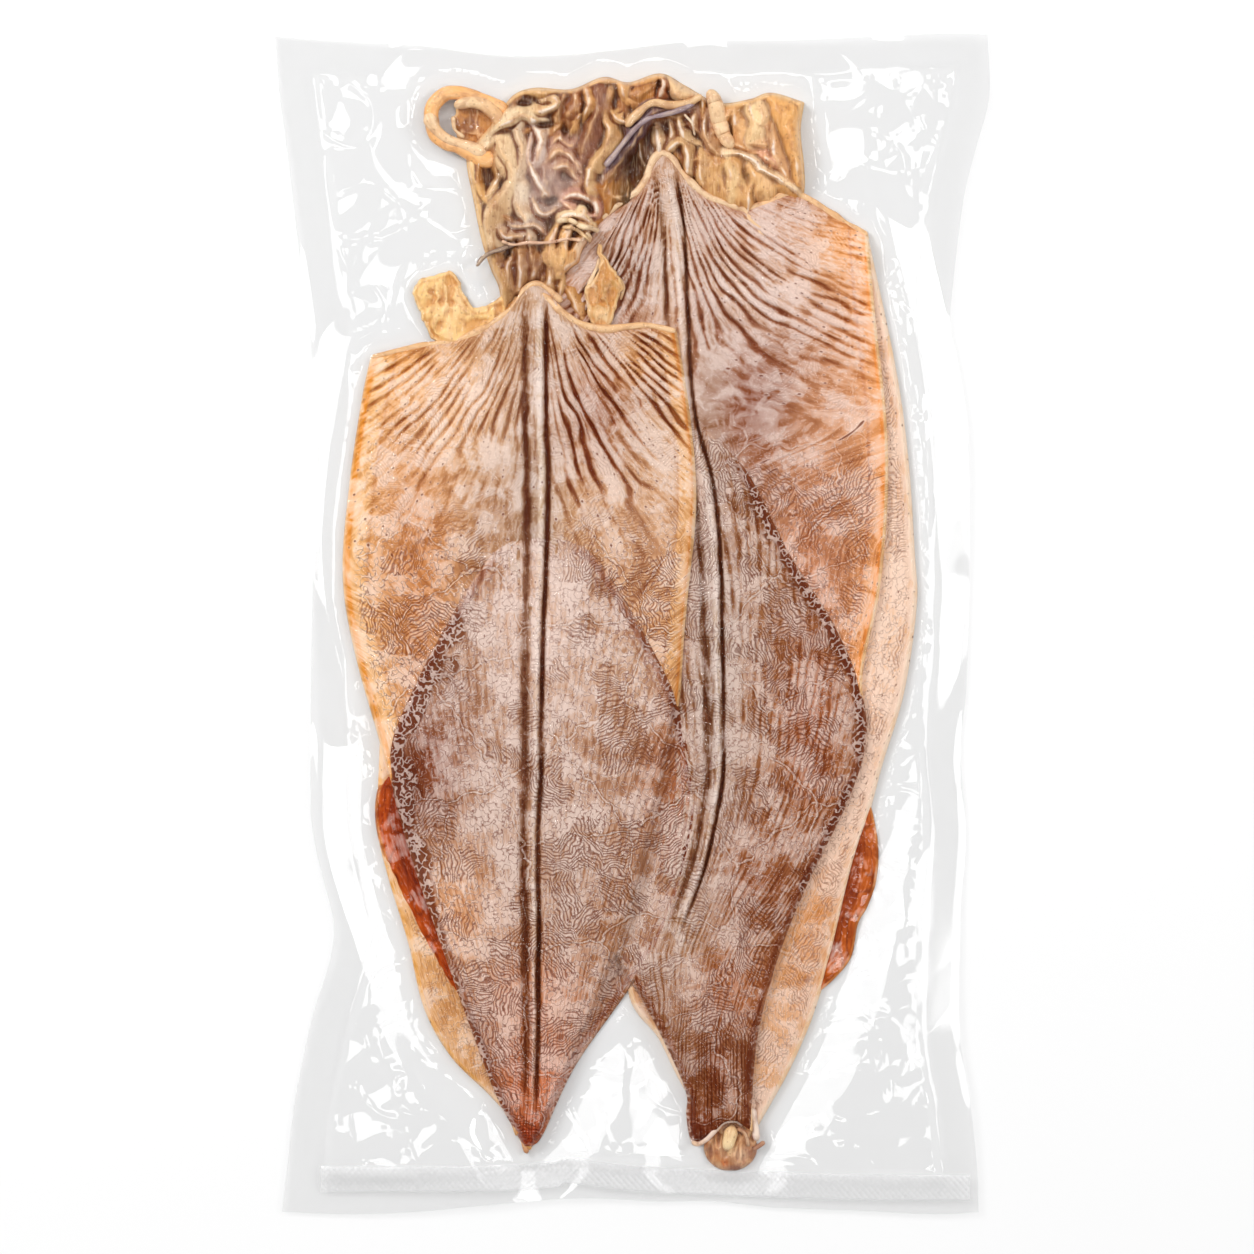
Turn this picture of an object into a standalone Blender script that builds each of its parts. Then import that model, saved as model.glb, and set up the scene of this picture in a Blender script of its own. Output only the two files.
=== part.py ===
"""A flat vacuum pouch of split dried squid, as one closed solid.

The pouch lies on its back with its long side along Y, top edge at +Y, and its shown side up.
Its top face is a height field: the film drawn down over four flattened squid, which lie two and two,
and over the heads and arms bunched above them. Each squid adds the thickness of its mantle inside
the mantle's outline and of its fins inside theirs, the centre of its back adds a ridge between two
grooves, and each arm adds a half-round bump along its route. Round the contents the two films lie
together and run out to a thin wavy seal margin. The underside is flat where the contents rest.
"""

import bpy
import numpy as np
from mathutils import Vector
from mathutils.geometry import delaunay_2d_cdt

MM = 0.001

# Driving sizes, in millimetres
POUCH_WIDTH = 200.0
POUCH_LENGTH = 330.0
FILM = 0.6
MARGIN_LIFT = 1.8
MARGIN_WAVE = 1.1
MANTLE_THICK = 2.5
BACK_MANTLE_THICK = 2.3
FIN_THICK = 1.1
HEADS_THICK = 6.0
NECK_RISE = 2.6
NECK_REACH = 17.0
RIDGE_HEIGHT = 0.9
RIDGE_WIDTH = 1.7
GROOVE_DEPTH = 0.55
GROOVE_OFFSET = 3.0
GROOVE_WIDTH = 1.1

# How wide the film's shoulder is where it drops from an outer edge, from one squid to the next, and
# where a hidden edge shows through the mantle on top of it
OUTER_SHOULDER = 3.0
INNER_SHOULDER = 1.4
HIDDEN_SHOULDER = 20.0
HIDDEN_DEPTH = 3.0
MARGIN_RAMP = 14.0

# Point spacings of the faceted surface
EDGE_STEP = 4.2
OUTLINE_STEP = 3.9
FILL_STEP = 4.7
HEADS_STEP = 2.15
CLOSEST = 0.95

# The vacuum draws each side of the pouch inwards: (place along the side, inset from the full size)
LEFT_INSET = [(-164.5, 2.0), (-151, 3.5), (-134, 5.5), (-110, 10.5), (-94, 15.5), (-84, 16.5), (-73, 14),
              (-60, 11), (-45, 10), (8, 10.5), (58, 11), (80, 10), (103, 7), (128, 4), (147, 1.5), (164.5, 0)]
RIGHT_INSET = [(-164.5, 3.0), (-151, 3.5), (-133, 5.5), (-112, 8.5), (-81, 8), (-59, 6.5), (-35, 8),
               (-16, 6.3), (24, 5.5), (54, 6), (74, 9), (84, 11), (100, 9.6), (120, 7), (134, 3.5),
               (148, 0), (165, 0.5)]
TOP_INSET = [(-100, 0.5), (-80, 2), (-58, 3.2), (-45, 5), (-33, 6), (-18, 5.6), (-2, 4), (17, 2), (50, 1.6),
             (78, 0.3), (90, 0), (99.5, 0.2)]
BOTTOM_INSET = [(-98, 0.7), (-80, 0), (-62, 0.6), (-42, 2.4), (-22, 4.2), (-8, 4.4), (6, 3.6), (22, 3.6),
                (40, 1.8), (62, 1.0), (85, 0), (97, 0.6)]

# Outlines, each a closed smooth curve through the points that its shape needs
FRONT_MANTLE = [(-73, 74.5), (-58, 78.3), (-45.5, 80.8), (-36, 86.5), (-30.5, 93.5), (-27, 95.2), (-23, 93),
                (-18, 86.5), (-10, 82), (-1, 82.8), (5, 83.2), (12.5, 82), (15, 67.5), (17.6, 46), (17.6, 28),
                (15, 0.5), (12.5, -27), (3, -71.5), (-7.5, -101), (-18, -126), (-25.5, -142.5), (-29, -146),
                (-32.5, -143), (-42.5, -116), (-53.5, -88.5), (-63.5, -57.5), (-69.5, -36), (-77.5, -7.5),
                (-80.8, 14), (-79, 38.5), (-75.5, 62.5)]
FRONT_FINS = [(-25, 23.5), (-40, 19), (-50.5, 2), (-60, -16), (-67.5, -36), (-63.8, -58), (-53, -90.5),
              (-39.5, -128), (-33, -141), (-29, -146), (-25, -142.5), (-16, -123.5), (-1, -102), (11, -83),
              (17, -60), (17.6, -46), (11.5, -19), (-7, 14.5), (-14, 21)]
RIGHT_MANTLE = [(-9, 113), (0.5, 119.8), (4.5, 125.5), (8, 131.3), (11.5, 129.6), (18.5, 121.5), (26, 117.8),
                (31.5, 116.2), (44, 120.4), (54, 116), (66, 109), (68, 86), (71.2, 56), (71.3, 32), (69, 8),
                (64.4, -14), (65.4, -32), (60.5, -49), (49.5, -71.5), (41.5, -91), (35.4, -113), (33.5, -132),
                (34.4, -147), (26.5, -153.3), (18.5, -147), (16.3, -130), (6.5, -111.5), (-9, -82.5),
                (-23, -32.5), (-31, 18), (-29, 66), (-20, 96)]
RIGHT_FINS = [(22, 50), (32.5, 42), (44, 19.5), (56, 0.5), (63.5, -17), (65.4, -32), (60.5, -49),
              (49.5, -71.5), (41.5, -91), (35.4, -113), (33.5, -132), (26, -146), (17, -134), (6.5, -111.5),
              (-8, -84), (-16, -52), (-6, -20), (8, 20)]
BACK_LEFT_SQUID = [(-66, 60), (-70, 20), (-69, -20), (-67.5, -41), (-71.5, -49.5), (-71, -58), (-67.5, -71),
                   (-62.5, -89), (-58, -107.5), (-50.5, -121), (-40, -131.5), (-34, -138.5), (-29.5, -147),
                   (-26, -136), (-14, -112), (0, -80), (8, -40), (6, 20), (0, 60), (-30, 70)]
BACK_RIGHT_SQUID = [(67, 107), (73.5, 72.5), (77, 48), (79, 19.5), (79.5, 5), (76, -19), (68.5, -42.5),
                    (66.8, -50.5), (69, -62), (68.3, -74), (63.5, -83.5), (61, -93), (53.5, -103.5),
                    (46, -121), (37, -137), (30, -148), (17, -139), (8, -116.5), (-1, -100), (8, -60),
                    (20, 0), (24, 60), (36, 104)]
HEADS = [(-38, 141), (-33, 148), (-27, 150), (-17, 149.6), (-8, 153), (-1, 151.5), (8, 154), (15, 150.5),
         (24, 145.8), (33, 146.8), (39, 148.6), (47.5, 146), (46.5, 138), (48, 126), (47, 119), (38, 113),
         (20, 112), (4, 108), (-4, 97), (-4, 88), (-11, 82), (-21, 84), (-32, 86), (-38, 92), (-39.5, 100),
         (-42, 108), (-44.5, 120), (-47, 131), (-43, 135)]
LEFT_FLAP = [(-61.5, 92.5), (-57.5, 96.5), (-51.5, 98), (-46.5, 91), (-42, 87.5), (-34, 90), (-34, 84),
             (-45, 79), (-54, 76), (-58, 83)]

# Centre line of each visible back, from the peak towards the tail
FRONT_RIDGE = [(-27, 92), (-26.6, 40), (-27.4, -20), (-28.2, -66), (-27.8, -108), (-28.6, -136)]
RIGHT_RIDGE = [(9, 127), (12, 92), (14.5, 62), (20.6, 32), (23, -6), (23, -42), (19, -66), (12.4, -84)]

# Each arm or fold: its route, its radius and how far its crest stands above the heads
ARMS = [
    ([(-37, 136), (-34, 128), (-36, 120), (-40.5, 112), (-40, 106)], 2.6, 2.8),
    ([(-31.5, 142), (-31, 128), (-32.5, 118), (-29, 108)], 2.2, 2.6),
    ([(-31, 142), (-26.5, 138), (-26.5, 130), (-24.5, 122)], 2.4, 3.0),
    ([(-36, 145), (-29, 149), (-19, 149)], 2.2, 2.2),
    ([(-12.5, 150), (-12.5, 145.5), (-16, 139)], 2.6, 3.2),
    ([(-8, 152), (-9.5, 146), (-10.5, 140), (-14.5, 130)], 2.6, 3.6),
    ([(-6, 151), (-7.5, 141), (-7, 133), (-12.5, 125), (-12, 119)], 2.2, 3.0),
    ([(-23, 112), (-18, 114), (-12, 110.5), (-6, 107)], 2.3, 3.2),
    ([(-36.5, 107), (-25, 106.5), (-14, 107)], 1.8, 1.6),
    ([(-38, 102), (-37.5, 96), (-36, 90)], 2.2, 1.4),
    ([(-9.5, 107), (-9, 101), (-12, 94), (-11, 85)], 2.3, 1.8),
    ([(-5, 129.5), (0.5, 138.5), (6.5, 145.5), (15.5, 145.5), (21.5, 149)], 2.6, 4.2),
    ([(-8, 153), (-3, 149.5), (7, 153)], 2.3, 2.6),
    ([(10.5, 153), (12.5, 148), (20, 148.5)], 2.2, 2.6),
    ([(24, 144.5), (25, 138), (27, 133)], 2.9, 3.8),
    ([(26, 145), (30, 137), (34, 144.5)], 1.9, 2.4),
    ([(38.5, 147), (44, 137.5), (47, 124)], 3.1, 3.4),
    ([(34, 143), (39, 137), (42, 125)], 2.2, 2.2),
    ([(25.5, 132), (35, 128), (45.5, 121)], 2.0, 1.6),
]
LOOP_ARM = [(-37, 143), (-44, 147), (-51, 148), (-55, 143.5), (-54, 137), (-48, 133), (-40, 131)]
LOOP_RADIUS = 3.2
LOOP_HEIGHT = 7.0

# Domes: centre, half widths and height
KNOB = ((-18.5, 105.5), (5.4, 6.6), 4.6)
HEAD_LUMP = ((-23, 125), (6.5, 6.0), 2.4)
TAIL_ROLL = ((27, -147), (6.6, 5.6), 2.6)
FRONT_TAIL_LUMP = ((-29, -136), (3.6, 9.0), 1.2)

FILM_COLOUR = (0.86, 0.87, 0.88, 1.0)
FILM_ROUGHNESS = 0.18


def curve(points, step, closed=False):
    """A Catmull-Rom curve through the points, read at about equal steps."""
    knots = np.array(points, dtype=float)
    count = len(knots)
    spans = count if closed else count - 1
    at = np.linspace(0.0, spans, spans * 12 + 1)
    span = np.minimum(at.astype(int), spans - 1)
    t = (at - span)[:, None]

    def knot(offset):
        index = span + offset
        if closed:
            return knots[index % count]
        inside = knots[np.clip(index, 0, count - 1)]
        first = 2 * knots[0] - knots[1]
        last = 2 * knots[-1] - knots[-2]
        inside[index < 0] = first
        inside[index >= count] = last
        return inside

    a, b, c, d = knot(-1), knot(0), knot(1), knot(2)
    dense = 0.5 * (2 * b + (c - a) * t + (2 * a - 5 * b + 4 * c - d) * t ** 2
                   + (3 * b - a - 3 * c + d) * t ** 3)
    along = np.concatenate([[0.0], np.cumsum(np.hypot(*np.diff(dense, axis=0).T))])
    pieces = max(3, round(along[-1] / step))
    marks = np.linspace(0.0, along[-1], pieces + 1)
    if closed:
        marks = marks[:-1]
    return np.stack([np.interp(marks, along, dense[:, axis]) for axis in (0, 1)], axis=1)


def offset(line, distance, closed=False):
    """The line moved sideways; a positive distance goes to the left of its direction."""
    if closed:
        ahead = np.roll(line, -1, axis=0) - np.roll(line, 1, axis=0)
    else:
        ahead = np.gradient(line, axis=0)
    ahead /= np.hypot(*ahead.T)[:, None]
    return line + distance * np.stack([-ahead[:, 1], ahead[:, 0]], axis=1)


def nearest(points, line, closed=False):
    """Distance from each point to a polyline."""
    start = line
    end = np.roll(line, -1, axis=0)
    if not closed:
        start, end = line[:-1], line[1:]
    best = np.full(len(points), np.inf)
    for a, b in zip(start, end):
        run = b - a
        share = np.clip(((points - a) @ run) / max(run @ run, 1e-9), 0.0, 1.0)
        best = np.minimum(best, np.hypot(*(points - a - share[:, None] * run).T))
    return best


def depth_inside(points, outline):
    """Distance to a closed outline, positive inside it and negative outside."""
    x, y = points.T
    inside = np.zeros(len(points), dtype=bool)
    for (ax, ay), (bx, by) in zip(outline, np.roll(outline, -1, axis=0)):
        crosses = (ay > y) != (by > y)
        rise = by - ay if by != ay else 1e-9
        inside ^= crosses & (x < ax + (y - ay) * (bx - ax) / rise)
    return np.where(inside, 1.0, -1.0) * nearest(points, outline, closed=True)


def ease(value):
    """Smooth step from 0 to 1."""
    value = np.clip(value, 0.0, 1.0)
    return value * value * (3.0 - 2.0 * value)


def side(insets, place):
    """One side of the pouch, as points at equal steps."""
    line = curve(insets, EDGE_STEP)
    return np.array([place(along, inset) for along, inset in line])


def pouch_outline():
    """The cut edge of the pouch, anticlockwise from its lower left corner."""
    half_width = POUCH_WIDTH / 2
    half_length = POUCH_LENGTH / 2 + 0.5
    bottom = side(BOTTOM_INSET, lambda x, inset: (x, -half_length + inset))
    right = side(RIGHT_INSET, lambda y, inset: (half_width - inset, y))
    top = side(TOP_INSET, lambda x, inset: (x, half_length - inset))[::-1]
    left = side(LEFT_INSET, lambda y, inset: (-half_width + inset, y))[::-1]
    corners = (bottom[:-1], right[:-1], top[:-1], left[:-1])
    return np.concatenate(corners)


def closed_curves():
    """The outlines of the layers, as closed curves by name."""
    points = {"front_mantle": FRONT_MANTLE, "front_fins": FRONT_FINS, "right_mantle": RIGHT_MANTLE,
              "right_fins": RIGHT_FINS, "back_left": BACK_LEFT_SQUID, "back_right": BACK_RIGHT_SQUID,
              "heads": HEADS, "left_flap": LEFT_FLAP}
    return {name: curve(outline, OUTLINE_STEP, closed=True) for name, outline in points.items()}


def margin_level(points):
    """Height of the slack film of the seal margin, in long shallow waves."""
    x, y = points.T
    waves = np.sin(x / 19 + y / 47 + 0.5) + 0.8 * np.sin(y / 23 - x / 61 + 1.9)
    return MARGIN_LIFT + MARGIN_WAVE * 0.5 * waves


def out_of_contents(points, outlines):
    """Distance from the nearest of the contents, negative inside them."""
    loop = nearest(points, curve(LOOP_ARM, 2.0)) - LOOP_RADIUS
    return np.minimum(loop, -np.max([depth_inside(points, line) for line in outlines.values()], axis=0))


def underside_level(points, outlines):
    """Flat under the contents, rising to the margin outside them."""
    return margin_level(points) * ease((out_of_contents(points, outlines) - 4.0) / MARGIN_RAMP)


def ridge(points, route):
    """The back's centre ridge: a crest with a groove on each side, fading out at the tail."""
    line = curve(route, 3.0)
    away = nearest(points, line)
    crest = RIDGE_HEIGHT * np.exp(-(away / RIDGE_WIDTH) ** 2)
    groove = GROOVE_DEPTH * np.exp(-((away - GROOVE_OFFSET) / GROOVE_WIDTH) ** 2)
    return crest - groove


def dome(points, shape):
    """A rounded lump with an elliptical foot."""
    centre, half, height = shape
    away = np.hypot(*((points - centre) / half).T)
    return height * ease(1.0 - away * 0.9)


def arms_over(points):
    """Half-round bumps along the arms, the highest one showing where they cross."""
    height = np.zeros(len(points))
    for route, radius, crest in ARMS:
        away = nearest(points, curve(route, 2.0)) / radius
        height = np.maximum(height, crest * np.sqrt(np.clip(1.0 - away ** 2, 0.0, 1.0)))
    return height


def contents_height(points, outlines):
    """Height of everything inside the film at each point."""
    inside = {name: depth_inside(points, line) for name, line in outlines.items()}
    hidden = ease(inside["front_mantle"] / HIDDEN_DEPTH)
    hidden_back = np.maximum(hidden, ease(inside["right_mantle"] / HIDDEN_DEPTH))

    def layer(name, thick, shoulder=OUTER_SHOULDER, under=0.0):
        width = shoulder + (HIDDEN_SHOULDER - shoulder) * under
        return thick * ease(inside[name] / width + 0.5)

    back = np.maximum(layer("back_left", BACK_MANTLE_THICK, under=hidden_back),
                      layer("back_right", BACK_MANTLE_THICK, under=hidden_back))
    right = layer("right_mantle", MANTLE_THICK, under=hidden)
    right += layer("right_fins", FIN_THICK, INNER_SHOULDER, hidden)
    front = layer("front_mantle", MANTLE_THICK, INNER_SHOULDER) + layer("front_fins", FIN_THICK, INNER_SHOULDER)
    heads = layer("heads", HEADS_THICK) + arms_over(points) * ease(inside["heads"] / 2.0 + 0.3)
    heads += dome(points, KNOB) + dome(points, HEAD_LUMP)
    stack = back + right + front
    stack += ridge(points, FRONT_RIDGE) * ease(inside["front_mantle"] / 6.0)
    bare_right = ease(-inside["front_mantle"] / 3.0)
    stack += ridge(points, RIGHT_RIDGE) * ease(inside["right_mantle"] / 6.0) * bare_right
    for peak in (FRONT_RIDGE[0], RIGHT_RIDGE[0]):
        near = np.exp(-(np.hypot(*(points - peak).T) / NECK_REACH) ** 2)
        stack += NECK_RISE * near * ease(stack / 2.0)
    stack += dome(points, TAIL_ROLL) + dome(points, FRONT_TAIL_LUMP)
    over_heads = ease(np.maximum(inside["front_mantle"], inside["right_mantle"]) / 3.0 + 0.5)
    height = np.maximum(stack, heads * (1.0 - over_heads))
    loop = nearest(points, curve(LOOP_ARM, 2.0)) / LOOP_RADIUS
    height = np.maximum(height, LOOP_HEIGHT * np.sqrt(np.clip(1.0 - loop ** 2, 0.0, 1.0)))
    return np.maximum(height, layer("left_flap", BACK_MANTLE_THICK))


def top_level(points, outlines):
    """Height of the pouch's upper face."""
    return FILM + underside_level(points, outlines) + contents_height(points, outlines)


def grid(step, low, high):
    """Staggered points over a box, every other row shifted by half a step."""
    rows = np.arange(low[1], high[1], step * 0.87)
    points = []
    for row, y in enumerate(rows):
        x = np.arange(low[0] + 0.5 * step * (row % 2), high[0], step)
        points.append(np.stack([x, np.full(len(x), y)], axis=1))
    return np.concatenate(points)


def spread(groups, edge):
    """Keeps the points of each group that are inside the edge and not too close to a kept one.

    Each group is its points and how close it may come to the points kept before it.
    """
    kept = [tuple(point) for point in edge]
    cell = 6.0
    near = {}

    def add(point):
        near.setdefault((int(point[0] // cell), int(point[1] // cell)), []).append(point)

    for point in kept:
        add(point)
    for points, gap in groups:
        points = points[depth_inside(points, edge) > 0.5 * gap]
        for x, y in points:
            column, row = int(x // cell), int(y // cell)
            around = [other for i in (-1, 0, 1) for j in (-1, 0, 1)
                      for other in near.get((column + i, row + j), ())]
            if all((x - ox) ** 2 + (y - oy) ** 2 >= gap * gap for ox, oy in around):
                kept.append((x, y))
                add((x, y))
    return kept


def triangles(points, edge_count):
    """Triangles between the points, inside the closed edge that the first points make."""
    border = [(i, (i + 1) % edge_count) for i in range(edge_count)]
    face = [list(range(edge_count))]
    flat = [Vector(point) for point in points]
    verts, _, faces, *_ = delaunay_2d_cdt(flat, border, face, 1, 1e-5)
    if len(verts) != len(points):
        raise ValueError("two points of the surface coincide")
    return np.array([vert[:] for vert in verts]), [tuple(face) for face in faces]


def is_hidden(points, name, outlines):
    """Which points of a layer's outline lie under a mantle on top of it."""
    above = {"right_mantle": ["front_mantle"], "right_fins": ["front_mantle"]}
    above["back_left"] = above["back_right"] = above["heads"] = ["front_mantle", "right_mantle"]
    hidden = np.zeros(len(points), dtype=bool)
    for other in above.get(name, []):
        hidden |= depth_inside(points, outlines[other]) > HIDDEN_DEPTH
    return hidden


def top_points(edge, outlines):
    """Points of the upper face: along every step, ridge and arm, and between them."""
    groups = []
    for name, line in outlines.items():
        shoulder = INNER_SHOULDER if name in ("front_mantle", "front_fins", "right_fins") else OUTER_SHOULDER
        for distance in (-0.5 * shoulder, 0.5 * shoulder):
            step = offset(line, distance, closed=True)
            groups.append((step[~is_hidden(step, name, outlines)], CLOSEST))
    for route in (FRONT_RIDGE, RIGHT_RIDGE):
        for distance in (0.0, GROOVE_OFFSET, -GROOVE_OFFSET):
            groups.append((offset(curve(route, OUTLINE_STEP), distance), CLOSEST * 1.4))
    for route, radius, _ in ARMS + [(LOOP_ARM, LOOP_RADIUS, LOOP_HEIGHT)]:
        for distance in (0.0, radius, -radius):
            groups.append((offset(curve(route, HEADS_STEP), distance), CLOSEST * 1.5))
    heads_low = np.min(outlines["heads"], axis=0) - 12.0
    heads_high = np.max(outlines["heads"], axis=0) + 3.0
    fine = grid(HEADS_STEP, heads_low, heads_high)
    fine = fine[depth_inside(fine, outlines["heads"]) > 0.0]
    groups.append((fine, HEADS_STEP * 0.72))
    half = (POUCH_WIDTH / 2 + 1, POUCH_LENGTH / 2 + 1)
    groups.append((grid(FILL_STEP, (-half[0], -half[1]), half), FILL_STEP * 0.66))
    return spread(groups, edge)


def bottom_points(edge, outlines):
    """Points of the underside, few, because it is flat under the contents."""
    half = (POUCH_WIDTH / 2 + 1, POUCH_LENGTH / 2 + 1)
    coarse = grid(12.0, (-half[0], -half[1]), half)
    away = out_of_contents(coarse, outlines)
    ramp = coarse[(away > 2.0)]
    base = coarse[(away <= 2.0)][::3]
    return spread([(ramp, 7.0), (base, 7.0)], edge)


def build_pouch():
    """The pouch: upper face, underside, and the cut edge of the film between them."""
    outlines = closed_curves()
    edge = pouch_outline()
    count = len(edge)
    upper, upper_faces = triangles(top_points(edge, outlines), count)
    lower, lower_faces = triangles(bottom_points(edge, outlines), count)
    upper_z = top_level(upper, outlines)
    lower_z = underside_level(lower, outlines)
    verts = np.concatenate([np.column_stack([upper, upper_z]), np.column_stack([lower, lower_z])]) * MM
    shift = len(upper)
    faces = list(upper_faces)
    faces += [tuple(shift + i for i in reversed(face)) for face in lower_faces]
    faces += [(i, shift + i, shift + (i + 1) % count, (i + 1) % count) for i in range(count)]
    mesh = bpy.data.meshes.new("pouch")
    mesh.from_pydata(verts.tolist(), [], faces)
    mesh.validate()
    mesh.shade_smooth()
    mesh.set_sharp_from_angle(angle=np.radians(55))
    pouch = bpy.data.objects.new("pouch", mesh)
    bpy.context.scene.collection.objects.link(pouch)
    return pouch


def film_material():
    """Clear polyamide and polyethylene film, glossy."""
    material = bpy.data.materials.new("clear_film")
    material.use_nodes = True
    shader = material.node_tree.nodes["Principled BSDF"]
    shader.inputs["Base Color"].default_value = FILM_COLOUR
    shader.inputs["Roughness"].default_value = FILM_ROUGHNESS
    shader.inputs["Metallic"].default_value = 0.0
    return material


def main():
    for old in list(bpy.data.objects):
        bpy.data.objects.remove(old, do_unlink=True)
    pouch = build_pouch()
    pouch.data.materials.append(film_material())


main()
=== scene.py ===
"""Looks of a clear vacuum pouch of split dried squid: the film, the squid inside it, floor and light.

Lengths are in millimetres until a mesh is made. X runs across the pouch, +Y towards the heads, +Z up.
Every surface is a function of two parameters on a grid, or a profile carried along a path.
"""

import math

import bpy
import numpy as np
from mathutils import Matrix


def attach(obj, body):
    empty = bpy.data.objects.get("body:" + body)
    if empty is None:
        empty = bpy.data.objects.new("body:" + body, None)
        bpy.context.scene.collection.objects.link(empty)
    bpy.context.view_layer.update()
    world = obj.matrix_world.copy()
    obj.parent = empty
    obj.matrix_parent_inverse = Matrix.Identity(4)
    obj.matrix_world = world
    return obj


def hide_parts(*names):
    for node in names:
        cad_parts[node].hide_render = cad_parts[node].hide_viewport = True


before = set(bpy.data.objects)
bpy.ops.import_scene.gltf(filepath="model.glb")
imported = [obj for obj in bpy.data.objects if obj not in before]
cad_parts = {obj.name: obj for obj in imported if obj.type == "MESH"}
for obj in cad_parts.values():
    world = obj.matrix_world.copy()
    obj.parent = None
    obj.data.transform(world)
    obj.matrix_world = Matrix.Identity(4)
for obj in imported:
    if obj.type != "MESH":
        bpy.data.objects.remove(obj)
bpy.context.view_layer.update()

MM = 0.001

# The pouch, as in the solid: full size, its slack margin and how each side is drawn in by the vacuum
POUCH_WIDTH = 200.0
POUCH_LENGTH = 330.0
END_REACH = 0.5  # how far each end's insets start beyond the length
MARGIN_LIFT = 1.8
MARGIN_WAVE = 1.1
MARGIN_RAMP = 14.0
LEFT_INSET = [(-164.5, 2.0), (-151, 3.5), (-134, 5.5), (-110, 10.5), (-94, 15.5), (-84, 16.5), (-73, 14),
              (-60, 11), (-45, 10), (8, 10.5), (58, 11), (80, 10), (103, 7), (128, 4), (147, 1.5),
              (164.5, 0)]
RIGHT_INSET = [(-164.5, 3.0), (-151, 3.5), (-133, 5.5), (-112, 8.5), (-81, 8), (-59, 6.5), (-35, 8),
               (-16, 6.3), (24, 5.5), (54, 6), (74, 9), (84, 11), (100, 9.6), (120, 7), (134, 3.5),
               (148, 0), (165, 0.5)]
TOP_INSET = [(-100, 0.5), (-80, 2), (-58, 3.2), (-45, 5), (-33, 6), (-18, 5.6), (-2, 4), (17, 2),
             (50, 1.6), (78, 0.3), (90, 0), (99.5, 0.2)]
BOTTOM_INSET = [(-98, 0.7), (-80, 0), (-62, 0.6), (-42, 2.4), (-22, 4.2), (-8, 4.4), (6, 3.6), (22, 3.6),
                (40, 1.8), (62, 1.0), (85, 0), (97, 0.6)]

# Thicknesses of the layers, as in the solid
MANTLE_THICK = 2.5
BACK_THICK = 2.3
FIN_THICK = 1.1
HEADS_THICK = 6.0
NECK_RISE = 2.6
NECK_REACH = 17.0
OPEN_SHOULDER = 1.2
HIDDEN_SHOULDER = 20.0
HIDDEN_DEPTH = 3.0
EDGE_ROUND = 1.3
UNDERSIDE = 0.35  # the sheets start near it, most at a height of their own so that no faces coincide
# How far the rims, the loop, its floor and the leaf stand above what they lie on
RIM_RISE = MANTLE_THICK * 0.55
LOOP_RISE = 1.6
LOOP_FLOOR_RISE = 1.2
LEAF_RISE = 3.6

# Rows and columns of each sheet's grid
FRONT_GRID = (470, 190)
FRONT_FIN_GRID = (400, 200)
RIGHT_GRID = (480, 190)
RIGHT_FIN_GRID = (400, 190)
BACK_GRID = (330, 130)
BACK_FIN_GRID = (170, 50)
HEADS_GRID = (270, 350)
DOME_GRID = (70, 70)
FLAP_GRID = (90, 90)
LOOP_FLOOR_GRID = (50, 50)
LEAF_GRID = (80, 40)
FILM_GRID = (400, 244)
FILM_BACK_GRID = (207, 126)

# Each squid's edges: the top edge of the mantle, then its two sides down to the tail
FRONT_TOP = [(-73, 74.5), (-58, 78.3), (-45.5, 80.8), (-36, 86.5), (-30.5, 93.5), (-27, 95.2), (-23, 93),
             (-18, 86.5), (-10, 82), (-1, 82.8), (5, 83.2), (12.5, 82)]
FRONT_LEFT = [(-73, 74.5), (-75.5, 62.5), (-79, 38.5), (-80.8, 14), (-77.5, -7.5), (-69.5, -36),
              (-63.5, -57.5), (-53.5, -88.5), (-42.5, -116), (-32.5, -143)]
FRONT_RIGHT = [(12.5, 82), (15, 67.5), (17.6, 46), (17.6, 28), (15, 0.5), (12.5, -27), (3, -71.5),
               (-7.5, -101), (-18, -126), (-25.5, -143)]
RIGHT_TOP = [(-9, 113), (0.5, 119.8), (4.5, 125.5), (8, 131.3), (11.5, 129.6), (18.5, 121.5), (26, 117.8),
             (31.5, 116.2), (44, 120.4), (54, 116), (66, 109)]
RIGHT_LEFT = [(-9, 113), (-20, 96), (-29, 66), (-31, 18), (-23, -32.5), (-9, -82.5), (6.5, -111.5),
              (15.9, -130), (15.6, -139), (17, -145.3)]
RIGHT_RIGHT = [(66, 109), (68, 86), (71.2, 56), (71.3, 32), (69, 8), (64.4, -14), (65.4, -32), (60.5, -49),
               (49.5, -71.5), (41.5, -91), (35.4, -113), (33.5, -132), (33.8, -142)]
# The fins of each squid, from the point where they start on the back to the tail
FRONT_FIN_LEFT = [(-27, 24), (-35, 22.5), (-42, 16), (-50.5, 2), (-60, -16), (-67.5, -36), (-63.8, -58),
                  (-53, -90.5), (-39.5, -128), (-33, -141), (-30, -146)]
FRONT_FIN_RIGHT = [(-26, 24), (-16, 22.5), (-7, 14.5), (11.5, -19), (17.6, -46), (17, -60), (11, -83),
                   (-1, -102), (-16, -123.5), (-25, -142.5), (-28, -146)]
RIGHT_FIN_LEFT = [(17, 58), (8, 20), (-6, -20), (-16, -52), (-8, -84), (6.5, -111.5), (15, -130),
                  (15.4, -137), (16, -142), (17, -145.3)]
RIGHT_FIN_RIGHT = [(18, 58), (24, 51), (32.5, 42), (44, 19.5), (56, 0.5), (63.5, -17), (65.4, -32),
                   (60.5, -49), (49.5, -71.5), (41.5, -91), (35.4, -113), (33.5, -132), (33.4, -141.6)]
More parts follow.
